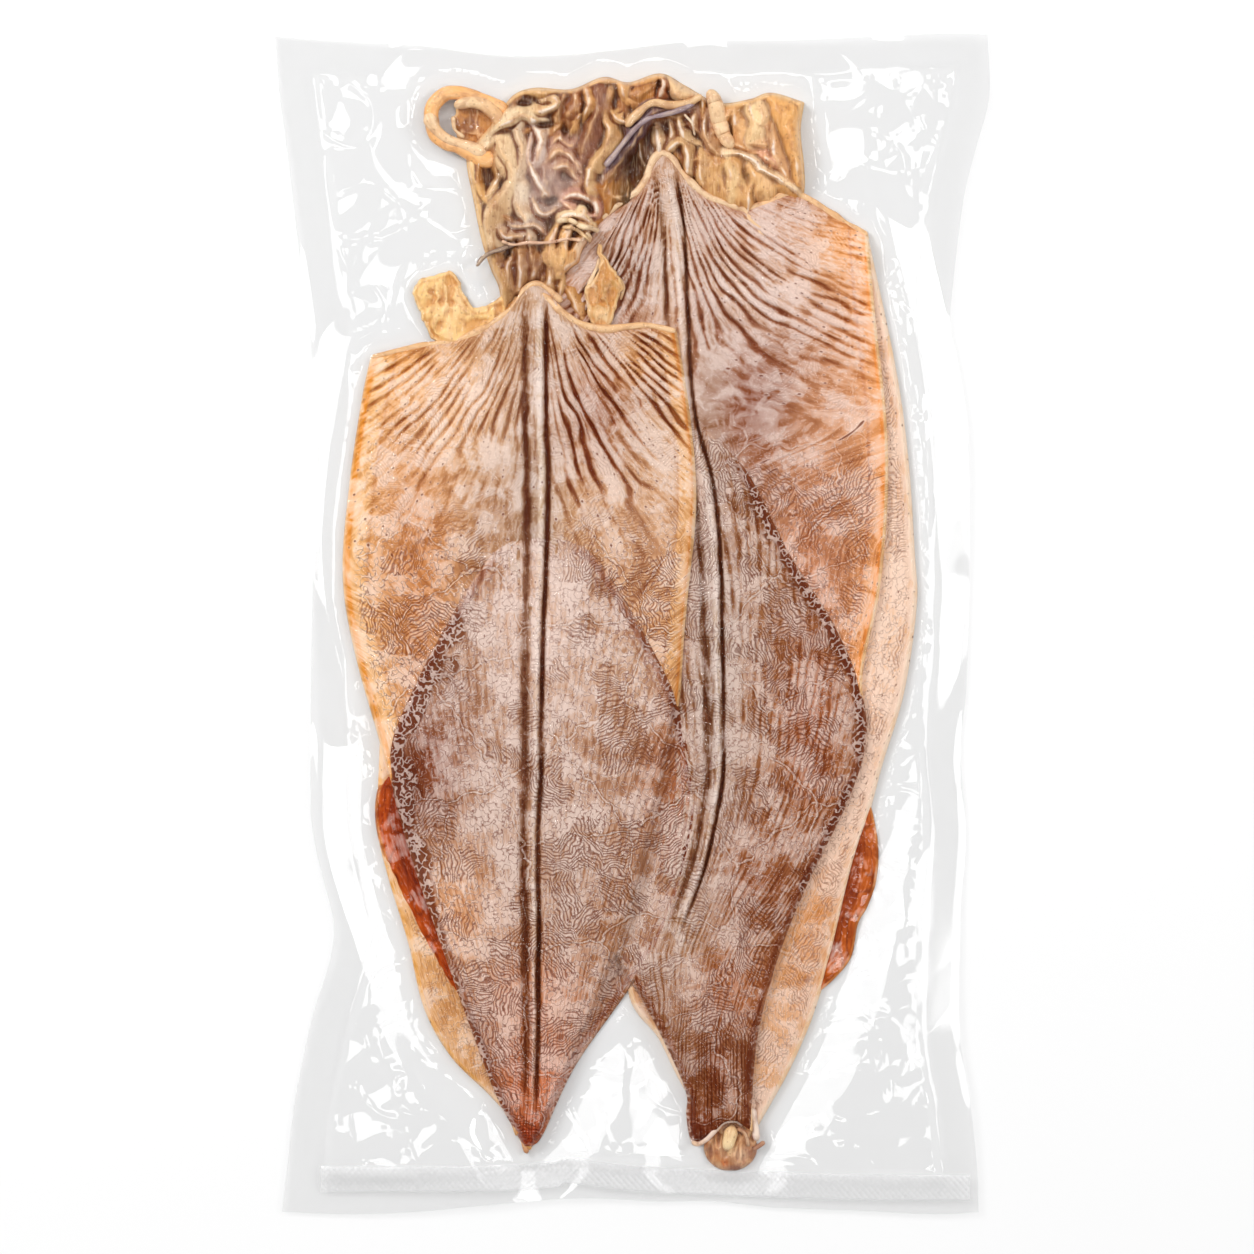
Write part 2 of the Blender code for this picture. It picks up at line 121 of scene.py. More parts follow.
RIGHT_TAIL = [(17, -145.3), (18.8, -145.5), (21.2, -143.8), (23.5, -141.3), (26, -139.1), (29, -138.8),
              (31, -140), (33.4, -141.6)]
BACK_LEFT_LEFT = [(-60, 66), (-66, 40), (-69, 0), (-70.5, -36), (-71, -57), (-68, -71), (-62.5, -89),
                  (-58, -107.5), (-50.5, -121), (-40, -131.5), (-34, -138.5), (-30, -147)]
BACK_LEFT_RIGHT = [(0, 66), (6, 20), (8, -40), (0, -80), (-14, -112), (-24, -136), (-28.5, -147)]
BACK_LEFT_FIN = [(-60, -30), (-67.5, -40), (-71.2, -47), (-71.4, -57), (-68.2, -68), (-62.6, -80),
                 (-57, -91), (-50, -103)]
BACK_LEFT_FIN_ROOT = [(-56, -32), (-59, -48), (-57, -64), (-52, -80), (-46, -94), (-44, -104)]
BACK_RIGHT_LEFT = [(30, 108), (24, 60), (20, 0), (8, -60), (-1, -100), (8, -116.5), (15.5, -131),
                   (28, -147)]
BACK_RIGHT_RIGHT = [(66, 108), (73.5, 72.5), (77, 48), (79, 19.5), (79.5, 5), (76, -19), (70, -39),
                    (66, -54), (61.5, -68), (56.5, -89), (51, -108), (44.5, -123.5), (36.5, -138),
                    (31, -147)]
BACK_RIGHT_FIN = [(63, -42), (66.8, -50.5), (69, -62), (68.4, -72), (66, -79), (63.3, -84), (61.5, -93),
                  (57, -99), (50, -105)]
BACK_RIGHT_FIN_ROOT = [(62, -42), (62.5, -54), (58, -68), (53.5, -84), (50, -96), (47.5, -106)]
HEADS_TOP = [(-46, 133), (-41, 138), (-37, 143), (-33, 148), (-27, 150), (-17, 149.6), (-8, 153),
             (-1, 151.5), (8, 154), (15, 150.5), (24, 145.8), (33, 146.8), (39, 148.6), (48, 146)]
HEADS_LEFT = [(-46, 133), (-46, 128), (-44.2, 119), (-42, 108), (-39.5, 100), (-37, 94), (-36, 86)]
HEADS_RIGHT = [(48, 146), (47, 138), (48, 128), (48, 121), (46, 112)]
HEADS_BOTTOM = [(-36, 86), (-27, 82), (-14, 80), (-2, 84), (4, 104), (24, 108), (46, 112)]

# Centre line of each visible back, from the peak towards the tail
FRONT_RIDGE = [(-27, 95), (-26.6, 40), (-27.4, -20), (-28.2, -66), (-27.8, -108), (-28.6, -142)]
RIGHT_RIDGE = [(8.6, 131), (11.5, 110), (12.6, 90), (14.5, 62), (20.6, 32), (23, -6), (23, -42), (19, -66),
               (12.4, -84), (10, -92)]

# Middle of the arm that makes a loop, and the outline of the thin flap
LOOP_BAND = [(-35, 143.5), (-40, 146), (-44, 147.5), (-48, 148.5), (-51.5, 148.5), (-54.5, 146.5),
             (-56, 144), (-56, 140.5), (-55, 137), (-52, 134.5), (-48.5, 133.5), (-44.5, 131.5),
             (-41.5, 130), (-38, 130.5)]
FLAP_OUTLINE = [(-61.5, 92.5), (-59, 96), (-55.5, 97.5), (-51, 98.5), (-48.5, 96), (-46, 91), (-43, 88),
                (-37.5, 90), (-33, 92.5), (-33, 88.5), (-45, 81), (-50.5, 78.5), (-56.5, 81), (-59, 88.5)]

# Soft tints of each piece: centre, half widths, colour and strength
FRONT_TINTS = [(-70, 45, 12, 40, "#dba06a", 0.6), (-66, 70, 15, 9, "#e7a552", 0.9),
               (-52, 58, 13, 18, "#ecc29c", 0.9), (-60, 15, 12, 30, "#d0905c", 0.9),
               (-38, 25, 9, 30, "#b28a6e", 0.9), (-27, 30, 8, 60, "#a68a78", 0.95),
               (-10, 60, 13, 18, "#9c6242", 0.9), (2, 74, 8, 6, "#d9a570", 0.8),
               (2, 20, 12, 26, "#cfa88f", 0.8), (-60, -22, 8, 18, "#c5824f", 0.85),
               (8, -10, 6, 20, "#d9a578", 0.8)]
FRONT_FIN_TINTS = [(-27, 5, 20, 32, "#c6a290", 0.95), (-57, -40, 11, 22, "#844220", 0.95),
                   (-50, -82, 12, 20, "#dca884", 0.95), (12, -45, 9, 28, "#ad6e48", 0.9),
                   (-6, -85, 12, 25, "#ab7c5e", 0.8), (-27, -75, 9, 30, "#ae846a", 0.8),
                   (-27, -108, 15, 16, "#c87a44", 0.9), (-28, -130, 12, 12, "#d88054", 1.0),
                   (-29, -146, 9, 7, "#da5412", 1.0), (-1, -14, 12, 14, "#c2a08e", 0.9)]
RIGHT_TINTS = [(11, 108, 7, 26, "#c9a384", 0.9), (32, 92, 16, 16, "#d0b2a4", 0.9),
               (-2, 100, 11, 14, "#9c7c6c", 0.85), (34, 62, 16, 22, "#804020", 0.95),
               (57, 55, 11, 36, "#cf9a7a", 0.85), (61, 106, 12, 11, "#e4a66c", 0.95),
               (21, 25, 7, 60, "#8f6f5c", 0.9), (50, 12, 12, 28, "#c88a6a", 0.8)]
RIGHT_FIN_TINTS = [(23, -10, 7, 50, "#8f715f", 0.9), (50, -28, 10, 30, "#a8623a", 0.85),
                   (36, -72, 16, 18, "#985a32", 0.85), (14, -80, 8, 26, "#aa866c", 0.8),
                   (28, -103, 14, 12, "#b26c3e", 0.8), (24, -125, 6, 12, "#92502c", 0.9),
                   (29, -126, 4, 12, "#b07f68", 0.8), (20, -141, 6, 7, "#88401c", 0.95)]
BACK_LEFT_TINTS = [(-66, -95, 10, 20, "#e6b67e", 0.9)]
BACK_RIGHT_TINTS = [(72, 30, 8, 50, "#e3b894", 0.9), (56, -90, 14, 26, "#cf8a40", 1.0)]
CUP_TINTS = [(27, -145, 1.8, 3.4, "#f0cf98", 0.9), (22.6, -147.2, 2.2, 2.4, "#b06a38", 0.9),
             (30.6, -148.4, 2.4, 2.2, "#efc8a4", 0.9), (26, -150.8, 1.0, 1.0, "#d8702c", 0.9),
             (29, -152.2, 3.0, 0.8, "#a87868", 0.8)]
FLAP_TINTS = [(-50, 90, 6, 7, "#f4cf98", 0.8)]
LOOP_FLOOR_TINTS = [(-46, 140, 2.5, 4, "#7c4420", 0.9), (-41, 141, 2, 4, "#c88a50", 0.8)]
LEAF_TINTS = [(-11, 99, 2, 5, "#d6c4ba", 0.9), (-6.5, 95, 2.5, 5, "#b07a3c", 0.85),
              (-8, 85, 3, 3, "#e6c79c", 0.8)]

# Thin sheets: their top, bottom, left and right edges
FLAP_EDGES = ([(-61.5, 92.5), (-59, 96), (-55.5, 97.5), (-51, 98.5), (-48.5, 96)],
              [(-56, 80), (-50, 78), (-43, 79), (-31, 88)],
              [(-61.5, 92.5), (-59.5, 88.5), (-57.5, 84), (-56, 80)],
              [(-48.5, 96), (-46, 91), (-43, 88), (-38, 90), (-33, 92.5), (-31, 88)])
LOOP_FLOOR_EDGES = ([(-49, 146.5), (-44, 147), (-38, 145)], [(-48, 135), (-43, 133), (-38, 132)],
                    [(-49, 146.5), (-50, 141), (-48, 135)], [(-38, 145), (-36, 139), (-38, 132)])
LEAF_EDGES = ([(-9.5, 107), (-8, 106)], [(-10.5, 83), (-6, 83.2)],
              [(-9.5, 107), (-9, 101), (-11, 96), (-13, 93), (-12.5, 88), (-10.5, 83)],
              [(-8, 106), (-7, 101.5), (-4.5, 98), (-2.5, 94), (-4.5, 89), (-6, 83.2)])

# Arms and folds of the heads: route, radius in mm, how far its middle stands above the sheet, and colour
STRANDS = [
    ([(-40, 133.5), (-37.5, 136), (-36, 132), (-34, 128), (-34, 123.5), (-36, 120), (-39, 116.5),
      (-40.5, 112), (-40, 106.5)], 1.7, 0.9, "#e2c096"),
    ([(-31.5, 140.5), (-32.5, 137), (-31, 133.5), (-31, 128.5), (-33, 124.5), (-32.5, 118.5),
      (-30.5, 113), (-29, 108)], 1.3, 1.0, "#dcc3a6"),
    ([(-31, 142), (-28.5, 141), (-26.5, 138), (-26, 134), (-27, 129.5), (-29, 126.5)],
     1.4, 1.1, "#d3b9aa"),
    ([(-40, 134), (-39.5, 137), (-37, 139.5), (-34, 141), (-31, 142.5), (-27.5, 141), (-25, 138)],
     1.5, 1.3, "#e6caa2"),
    ([(-28.5, 137), (-29, 132.5), (-29, 128.5), (-27, 124.5), (-24, 120.5)], 0.9, 1.2, "#cdb1a4"),
    ([(-38, 131), (-37, 127), (-38.5, 123), (-41, 119)], 1.0, 0.5, "#d8b184"),
    ([(-36.5, 145), (-33, 148), (-29, 149.6), (-25, 149), (-20.5, 149.5), (-18, 148.5)],
     1.7, 0.6, "#c99a62"),
    ([(-31, 144), (-27, 143.5), (-23, 144), (-20.5, 145), (-22, 147.3), (-24.5, 147.3)],
     1.3, 1.2, "#ddb88a"),
    ([(-35, 141), (-33, 144.5), (-31, 147)], 1.1, 0.5, "#a8734a"),
    ([(-15.5, 148.5), (-16.5, 144.5), (-18, 140.5)], 1.8, 0.8, "#9a6138"),
    ([(-19, 149), (-19.5, 145), (-21, 141.5)], 1.2, 0.6, "#7e5033"),
    ([(-12.5, 150), (-12.5, 145.5), (-15.5, 140)], 2.1, 1.2, "#d19c62"),
    ([(-9, 152), (-9.5, 146), (-10.5, 140.5), (-12.5, 135.5), (-14.5, 130.5)], 2.2, 0.9, "#8a5a45"),
    ([(-6, 151), (-8, 145.5), (-7.5, 141), (-6, 137), (-7.5, 132.5), (-10.5, 129.5), (-12.5, 125.5),
      (-12, 119)], 1.5, 1.3, "#d3a775"),
    ([(-23, 133), (-20, 135), (-17, 133), (-15, 135)], 1.0, 0.7, "#b98d78"),
    ([(-24, 129), (-21, 131.5), (-17.5, 130), (-14.5, 126)], 1.1, 0.7, "#c79d86"),
    ([(-22, 127), (-18, 127.5), (-15, 123.5)], 1.0, 0.6, "#b58a78"),
    ([(-19.5, 118), (-17, 119.7), (-13, 119.2), (-10.4, 117), (-10, 114.5)], 1.0, 1.6, "#c9937f"),
    ([(-19.5, 118), (-16, 116), (-12.5, 114.6), (-10, 114.5)], 0.9, 1.5, "#d8a892"),
    ([(-28, 118), (-25.5, 115), (-22, 115.5), (-19.5, 116.5)], 1.2, 0.9, "#a88c7e"),
    ([(-34, 112), (-31, 110.5), (-27.5, 111.5), (-24.5, 109.5)], 1.2, 0.8, "#ad9384"),
    ([(-37, 111), (-35, 108.5), (-31, 108.3)], 1.0, 0.8, "#c3a184"),
    ([(-15.5, 113.5), (-13.5, 111.3), (-10.5, 110.6)], 1.2, 1.4, "#e0b98c"),
    ([(-20, 98), (-22, 102.5), (-22.2, 107.5), (-20.5, 112)], 1.5, 2.6, "#e9bd84"),
    ([(-20, 98), (-19.5, 103.5), (-18.5, 108.5), (-16, 112.8)], 1.7, 3.0, "#f4cd94"),
    ([(-20, 98), (-17, 101.5), (-14, 106), (-11.8, 110.5)], 1.6, 2.8, "#eec28a"),
    ([(-21, 111.5), (-18, 114.2), (-14.5, 114.4), (-11, 112)], 1.3, 2.4, "#f6dcb0"),
    ([(-39.5, 101.5), (-39, 98), (-36.5, 95.5), (-37.5, 90)], 1.3, 0.8, "#d0a36c"),
    ([(-31.5, 104.5), (-31, 98.5), (-31.5, 93)], 1.2, 0.8, "#bf9164"),
    ([(-34.5, 102.5), (-35.5, 98), (-34, 94)], 0.9, 0.8, "#b58458"),
    ([(-28, 104), (-27, 100), (-28, 95.5)], 1.0, 0.6, "#9a6b48"),
    ([(-24, 102), (-23, 97.5), (-24.5, 93)], 1.1, 0.6, "#a87848"),
    ([(-18.5, 95), (-16, 90.5), (-14.5, 85)], 1.7, 0.9, "#c08a50"),
    ([(-21, 99), (-19.5, 95.5), (-20, 91)], 1.0, 0.7, "#c79a64"),
    ([(-6, 127), (-2.2, 130.6), (1.6, 137), (4.4, 141.4), (8, 143.8), (12, 143.4), (16, 144)],
     1.5, 1.0, "#6d535c"),
    ([(-7, 124.5), (-4.5, 127), (-1.5, 131), (0.5, 135)], 1.0, 0.6, "#7c4f38"),
    ([(4.5, 140.5), (8, 142.2), (12, 141.4), (15, 142.4)], 1.0, 0.5, "#94643f"),
    ([(-11.5, 150.5), (-8, 152.4), (-4.5, 152), (-3, 149.5), (-1.5, 146)], 1.9, 1.2, "#dfb078"),
    ([(0, 150), (3, 151.6), (7, 153), (9.5, 152)], 1.6, 0.9, "#d39c60"),
    ([(-2, 149), (0.5, 147), (3.5, 148.4), (6, 150.5)], 1.2, 0.5, "#c08850"),
    ([(8, 153), (9, 150.5), (7, 147)], 0.9, 1.6, "#b26d4c"),
    ([(10.5, 153), (11.5, 150.5), (12.5, 147.8), (16.5, 147.5), (20, 148.7)], 1.5, 1.2, "#e9c598"),
    ([(14, 150.5), (17, 149.8), (20.5, 150)], 1.2, 0.8, "#d9a266"),
    ([(-6, 144.5), (-4.5, 141.5), (-2.5, 140.5), (-1, 141)], 1.1, 1.7, "#e8c28e"),
    ([(6.5, 138.5), (7, 135.5), (7.5, 131)], 0.8, 1.1, "#d0ab84"),
    ([(10, 140.5), (10.5, 137), (9.5, 134)], 0.9, 0.7, "#a98468"),
    ([(13, 141.5), (13.5, 138.5), (15, 135.5), (18, 134)], 1.0, 1.4, "#d6ae80"),
    ([(21, 143.5), (20, 139), (21, 135), (23.5, 132)], 1.3, 0.7, "#b98a66"),
    ([(17.5, 143.5), (17, 140), (19, 137)], 0.9, 0.7, "#a87a5c"),
    ([(32.5, 145.5), (34, 141.5), (33.6, 137.5), (32.6, 134)], 1.6, 1.0, "#f3cf9c"),
    ([(24, 146.2), (28.5, 145.8), (33, 146.6), (37.5, 148), (43.5, 147), (47.6, 145.4), (46.6, 139)],
     1.2, 0.5, "#e9b679"),
    ([(38.5, 147), (41.5, 143), (44, 137.5), (46, 131), (47.2, 123.5)], 2.5, 0.9, "#e6aa66"),
    ([(35, 141), (38.5, 138), (40, 132), (43.5, 124)], 1.3, 1.0, "#e4b284"),
    ([(35, 146), (36.5, 142.5), (36, 139), (37, 135)], 1.1, 0.8, "#e9c294"),
    ([(31.5, 134.5), (35, 134.8), (38.5, 134)], 1.1, 0.6, "#dfaf80"),
    ([(27.5, 134.5), (30.5, 133.6), (34, 132)], 0.9, 0.5, "#c98f5c"),
    ([(36, 131.5), (39, 130), (42, 127.5)], 1.2, 0.9, "#e2a888"),
    ([(25.5, 131.6), (29, 131.4), (34.5, 129.5), (35.5, 127.5), (42, 124), (47, 120)],
     0.8, 1.5, "#f5d8b0"),
    ([(26, 129.5), (27.5, 125), (26.5, 118)], 1.0, 0.2, "#e8c08a"),
    ([(33, 128), (35.5, 124), (37.5, 119)], 1.2, 0.2, "#e6b47a"),
    ([(41, 126), (43.5, 121)], 1.0, 0.2, "#e0a462"),
    ([(18.5, 132), (19.5, 124)], 1.1, 0.3, "#d6a670"),
    ([(9.5, 132), (12, 134), (15, 133.5), (15.2, 127)], 1.1, 1.1, "#d6ae80"),
    ([(-47, 131.5), (-46, 127.5), (-45, 122.5), (-44, 117.5), (-42.5, 111), (-41.3, 105)],
     0.9, 0.8, "#e6c08a"),
    ([(-45, 124), (-42.5, 120.5), (-40.5, 118)], 0.7, 0.5, "#dba868"),
]
# Soft tints of the heads, as above
HEAD_TINTS = [(-44, 118, 4.5, 18, "#b0702f", 0.9), (-36, 126, 6, 12, "#b58552", 0.8),
              (-28, 121, 7, 14, "#8d6c5c", 0.85), (-21, 124, 7, 8, "#9c7464", 0.9),
              (-14, 136, 7, 9, "#6d4025", 0.85), (-22, 146, 10, 5, "#70421f", 0.8),
              (-5, 148, 7, 6, "#9e612a", 0.8), (4, 149, 6, 5, "#c98a44", 0.9),
              # The near-black tint at (1, 129) is painted shade in the deep gap between the heads
              (1, 129, 6, 9, "#3f2f22", 1.0), (10, 136, 7, 6, "#6a4a38", 0.85),
              (17, 138, 6, 8, "#96643f", 0.7), (37, 140, 12, 10, "#eab880", 0.98),
              (29, 124, 15, 7, "#dcab72", 0.95), (-31, 99, 9, 8, "#663616", 0.95),
              (-9, 95, 6, 12, "#a97238", 0.8), (-1, 119, 4, 5, "#47331f", 0.9),
              (-26, 112, 5, 5, "#5f4c40", 0.7)]
# Where the folds are deeper amber or brown: centre, half widths, and the shares of the colour lost
HEAD_AMBER = [((-17, 105), (7, 9), (0.08, 0.24, 0.4)), ((-3, 146), (16, 8), (0.08, 0.2, 0.32)),
              ((-31, 100), (9, 8), (0.26, 0.32, 0.3))]
# Round lumps of the heads: centre, reach and height
HEAD_BLOBS = [((-24.5, 123), 3.8, 1.3), ((-19, 128.5), 3.2, 0.9), ((-28, 114), 2.6, 0.8),
              ((4, 149), 4.5, 0.9), ((38, 141), 4.5, 0.9), ((30, 142), 3.0, 0.5), ((3, 124), 1.6, 0.9),
              ((1.4, 131), 1.5, 0.9), ((-0.5, 127), 1.4, 0.8), ((13, 137), 2.6, 0.8)]
# Hollows between the folds, which also carry painted shade: centre, half widths and depth
HEAD_PITS = [((-25, 139.7), (3.0, 1.0), 1.4), ((-37.1, 124.5), (0.7, 2.6), 0.9),
             ((-18.6, 137.6), (0.9, 2.4), 1.0), ((-30.7, 145.6), (2.4, 0.9), 0.9),
             ((-23.5, 118.6), (3.0, 1.0), 0.7), ((-11.5, 117), (1.0, 2.8), 0.9),
             ((1, 128.5), (4.2, 6.5), 1.5), ((8, 138.5), (3.6, 2.0), 0.8),
             ((27.8, 139.5), (0.7, 3.4), 1.0), ((-13.9, 143), (0.6, 4.0), 1.0),
             ((-5, 146), (0.8, 2.6), 0.8), ((-34, 90), (2.0, 3.0), 0.6), ((-7.5, 90), (1.6, 4.0), 0.6),
             ((39, 135), (0.7, 4.5), 0.8), ((21.0, 140), (0.7, 3.5), 0.8)]
# Strands that stand free on the heads, as in STRANDS
HEAD_TUBES = [
    ([(-36.5, 107), (-33, 106), (-29, 106.5), (-23, 106.5), (-17.5, 107.5), (-14, 107)],
     0.45, 1.9, "#dfb294"),
    ([(-43.5, 100), (-41, 103), (-36, 105), (-32.5, 106.5)], 0.6, 1.2, "#7d6253"),
    ([(-21, 112.5), (-17.5, 112.8), (-14, 111), (-10.5, 110.4), (-7.5, 108.8), (-6, 106.2)],
     0.75, 1.3, "#ecd0a6"),
    ([(-19.5, 110.8), (-15.5, 110.2), (-12.5, 107.6), (-9.5, 106.3)], 0.55, 1.6, "#e3bd88"),
    ([(-12.8, 109.2), (-10.5, 106.5), (-9.2, 102), (-11, 97), (-12.6, 92.5), (-11, 84)],
     0.6, 1.6, "#e9c99e"),
    ([(-8.5, 103), (-5, 98.5), (-2.5, 94.5), (-3.6, 90)], 0.5, 1.2, "#e0b886"),
    ([(-1.5, 139), (1, 142), (5.5, 145.4), (10.5, 144.9), (15.5, 145.5), (19.5, 147.6)],
     1.15, 1.5, "#dcae78"),
    ([(-7.5, 128), (-5, 131), (-1.5, 135.6), (1, 138.4), (4.5, 141), (9, 142.3), (13.5, 143.6),
      (17.5, 145.6)], 0.7, 1.4, "#8b7684"),
    ([(14.5, 142.5), (16.6, 140), (17.6, 136.5)], 0.3, 1.6, "#f0dcc0"),
    ([(21.6, 149.4), (23.2, 145.6), (24.2, 141.5), (25.6, 137), (28.2, 133)], 2.5, 0.2, "#f0c898"),
]

# Strands of the two curled rims, the loop and the right squid's tail, as in STRANDS
RIMS_RIGHT = [
    ([(-9, 113.4), (-4, 117.6), (1.5, 121), (4, 124.5), (5, 127.8), (6.5, 130.6), (9, 131.6), (11.5, 130),
      (13.5, 126.5), (18, 122), (22.5, 119), (29, 117), (31.5, 116), (32.5, 114), (35.5, 111),
      (36.5, 107)], 1.0, 0.4, "#e6bf94"),
    ([(31.5, 116), (38.5, 118), (42.5, 120.3), (46.5, 120.3), (50.5, 118.3), (55.5, 115), (61, 111.5),
      (66, 108.6)], 1.0, 0.2, "#e9b983"),
]
RIMS_FRONT = [
    ([(-73, 74.6), (-65, 76.5), (-58, 78), (-50, 79), (-45, 81), (-40, 83.5), (-34.5, 87.5), (-31.5, 91),
      (-29.8, 93.6), (-27, 95.2), (-24, 94), (-19.5, 90)], 1.0, 0.2, "#dfae78"),
    ([(-26, 92.5), (-23, 90.5), (-19, 86.5), (-14, 83.7), (-7.5, 82.4), (-0.5, 83.2), (5, 83.4),
      (12.3, 81.8)], 1.0, 0.5, "#e3b27c"),
]
LOOP_STRANDS = [
    (LOOP_BAND, 2.1, 1.5, "#f4b064"),
    ([(-49.5, 145), (-45, 146), (-41, 145), (-38, 142.5), (-36.5, 139)], 1.6, 2.4, "#eabf8c"),
    ([(-57, 142.5), (-55, 138.5), (-51.5, 135.6), (-46.5, 133.8), (-41, 131.4)], 1.7, 2.6, "#f3cb9c"),
    ([(-50, 142), (-49.6, 138.5), (-47, 136)], 0.6, 1.4, "#e9c79a"),
]
TAIL_STRANDS = [
    ([(16.8, -144.8), (18.6, -145.3), (21.2, -143.7), (23.5, -141.2), (26, -139.0), (29, -138.7),
      (31, -140)], 0.75, 2.6, "#dcc5b9"),
    ([(28, -140.5), (27.4, -143.5), (26.4, -147)], 1.7, 1.6, "#f0cf98"),
    ([(29.5, -141), (31.6, -142.4), (32.6, -146)], 0.6, 2.0, "#8f5a44"),
    ([(33.4, -135.5), (34.4, -139.5), (34.9, -144.5)], 1.1, 0.8, "#e6d3c8"),
    ([(33.6, -147.2), (35.6, -146), (37.2, -144.8)], 0.6, 0.0, "#a8683f"),
    ([(-30.4, -144.8), (-29.9, -146.6), (-29.3, -148.2)], 0.75, -0.2, "#b5713a"),
]

# Film, seal, finishes, room and lamps
FILM_FALL = 1.5
FILM_GAP = 0.1  # how far it stays clear of the contents
FILM_LOW = 0.06
FILM_WELDED = 0.03  # between its two sheets at the cut edge
WELD_WIDTH = 9.5
SEAL_LINE = [(-87, -155.3), (-40, -155), (-22, -154), (-17, -152.8), (0, -155), (24, -156.3), (60, -157.4),
             (94.5, -157.6)]
SEAL_HALF = 3.6
SEAL_PITCH = 1.7
SEAL_END = -140.0  # only film below this y carries the band
FACING_SHINE = 0.04
CLINGING_SHINE = 0.1
METRES_TO_MM = (1000, 1000, 0)
BUMP_DEPTH = 0.0004
WAX_ROUGHNESS = 0.3
SKIN_BUMP, SKIN_SHINE = 0.8, 0.08
FLESH_BUMP, FLESH_SHINE = 0.3, 0.3
STROKE_TURN = 7.0  # radians for each mm, so that strokes are 0.9 mm apart
ROOM_OVERHEAD = 0.12
ROOM_SIDES = 0.6
FLOOR_WHITE = 0.82
FLOOR_HALF = 3.0
# Lamps: name, place and size in metres, and power
LAMPS = [
    ("key", (-1.3, 0.95, 1.45), (0.6, 0.6), 24.0),
    ("fill", (1.45, 0.5, 1.5), (0.5, 0.7), 11.0),
    ("strip_left", (-0.68, 0.1, 1.7), (0.26, 1.0), 4.0),
    ("strip_right", (0.72, -0.1, 1.7), (0.26, 1.0), 4.0),
    ("strip_top", (0.0, 0.8, 1.7), (0.26, 0.9), 4.0),
]

# Camera: 1254 pixels across 350.2 mm, seen from straight above
PHOTO_PIXELS = 1254
PIXEL_MM = 0.2793
PHOTO_CENTRE = (-1.4, -0.8)
CAMERA_HEIGHT = 1.9
MIDDLE_LEVEL = 0.006
SENSOR = 36.0
CLIP_END = 20.0

# Raster over the whole pouch, for depths inside the outlines and for the film: its cell, its first corner,
# its rows and columns
CELL = 0.7
RASTER_START = (-106.0, -171.0)
RASTER_SHAPE = (490, 304)

# The patterns: lattice size, and how the folds run and meet
NOISE_CELLS = 128
FIBRE_SCALE = 0.01  # UV units for each mm of fibre
FAN_ABOVE = 10.0  # the fan's centre stands above the peak
FAN_RADIUS = 62.0
FAN_SIDE = 36.0
TAPER_END = 165.0  # the body narrows towards this far below the middle
TAPER_RATE = 0.24
TAPER_LEAST = 12.0
FAN_BEND = 0.0022
RIGHT_FAN_BEND = 0.005  # the right squid's folds turn almost level at its right edge
FOLD_TURN = 2.1  # radians for each mm, so that folds are 3 mm apart
FOLD_SPAN = 3.2
FOLD_BLEND = 0.2
FOLD_TOP = 3.4
STRAND_STEP = 0.4
STRAND_SIDES = 12


def linear(code):
    """An sRGB hex colour as linear red, green and blue."""
    parts = np.array([int(code[i:i + 2], 16) for i in (1, 3, 5)]) / 255.0
    return np.where(parts <= 0.04045, parts / 12.92, ((parts + 0.055) / 1.055) ** 2.4)


def ease(value):
    """Smooth step from 0 to 1."""
    value = np.clip(value, 0.0, 1.0)
    return value * value * (3.0 - 2.0 * value)


# Colours of the skin and the flesh. SKIN_LIFT, SKIN_WARM and SKIN_SHADE multiply the tone of the skin
SKIN_BLOOM = linear("#e9dad2")
SKIN_LIFT = (1.16, 1.15, 1.14, 1.0)
SKIN_WARM = (0.97, 0.85, 0.67, 1.0)
SKIN_DARK = linear("#6e2f10")
SKIN_SHADE = (0.41, 0.2, 0.1, 1.0)
PALE_AMBER = linear("#f3cb98")
CREAM = linear("#efd3ab")
HONEY = linear("#cf8f4c")
FLESH_STAIN = linear("#a8673a")
# Painted shade under the strands, in broad hollows and in creases, and painted light on fold crests
STRAND_UNDER_SHADE = linear("#6d4a33")
SHADE = linear("#4a2510")
FOLD_PAINTED_SHADE = linear("#7d3e14")
FOLD_PAINTED_LIGHT = linear("#efbf8a")
# Painted shade in the grooves beside a back's ridge, and the painted highlight of its pale line
GROOVE_SHADE = linear("#57301c")
RIDGE_HIGHLIGHT = linear("#efe0d6")


def mix(a, b, share):
    """Colour a turned towards colour b by a share for each point."""
    return a + (b - a) * np.asarray(share)[..., None]


def curve(points, count=200, closed=False):
    """A Catmull-Rom curve through the points, read at count equal steps of its length."""
    knots = np.array(points, dtype=float)
    total = len(knots)
    spans = total if closed else total - 1
    at = np.linspace(0.0, spans, spans * 24 + 1)
    span = np.minimum(at.astype(int), spans - 1)
    t = (at - span)[:, None]
    if closed:
        padded = np.concatenate([knots[-1:], knots, knots[:2]])
    else:
        padded = np.concatenate([2 * knots[:1] - knots[1:2], knots, 2 * knots[-1:] - knots[-2:-1]])
    a, b, c, d = (padded[span + i] for i in range(4))
    dense = 0.5 * (2 * b + (c - a) * t + (2 * a - 5 * b + 4 * c - d) * t ** 2
                   + (3 * b - a - 3 * c + d) * t ** 3)
    along = np.concatenate([[0.0], np.cumsum(np.linalg.norm(np.diff(dense, axis=0), axis=1))])
    marks = np.linspace(0.0, along[-1], count)
    return np.stack([np.interp(marks, along, dense[:, axis]) for axis in range(knots.shape[1])], axis=1)


def nearest(x, y, line):
    """Distance from each point to a polyline."""
    best = np.full(np.shape(x), np.inf)
    for (ax, ay), (bx, by) in zip(line[:-1], line[1:]):
        rx, ry = bx - ax, by - ay
        share = np.clip(((x - ax) * rx + (y - ay) * ry) / max(rx * rx + ry * ry, 1e-9), 0.0, 1.0)
        best = np.minimum(best, (x - ax - share * rx) ** 2 + (y - ay - share * ry) ** 2)
    return np.sqrt(best)


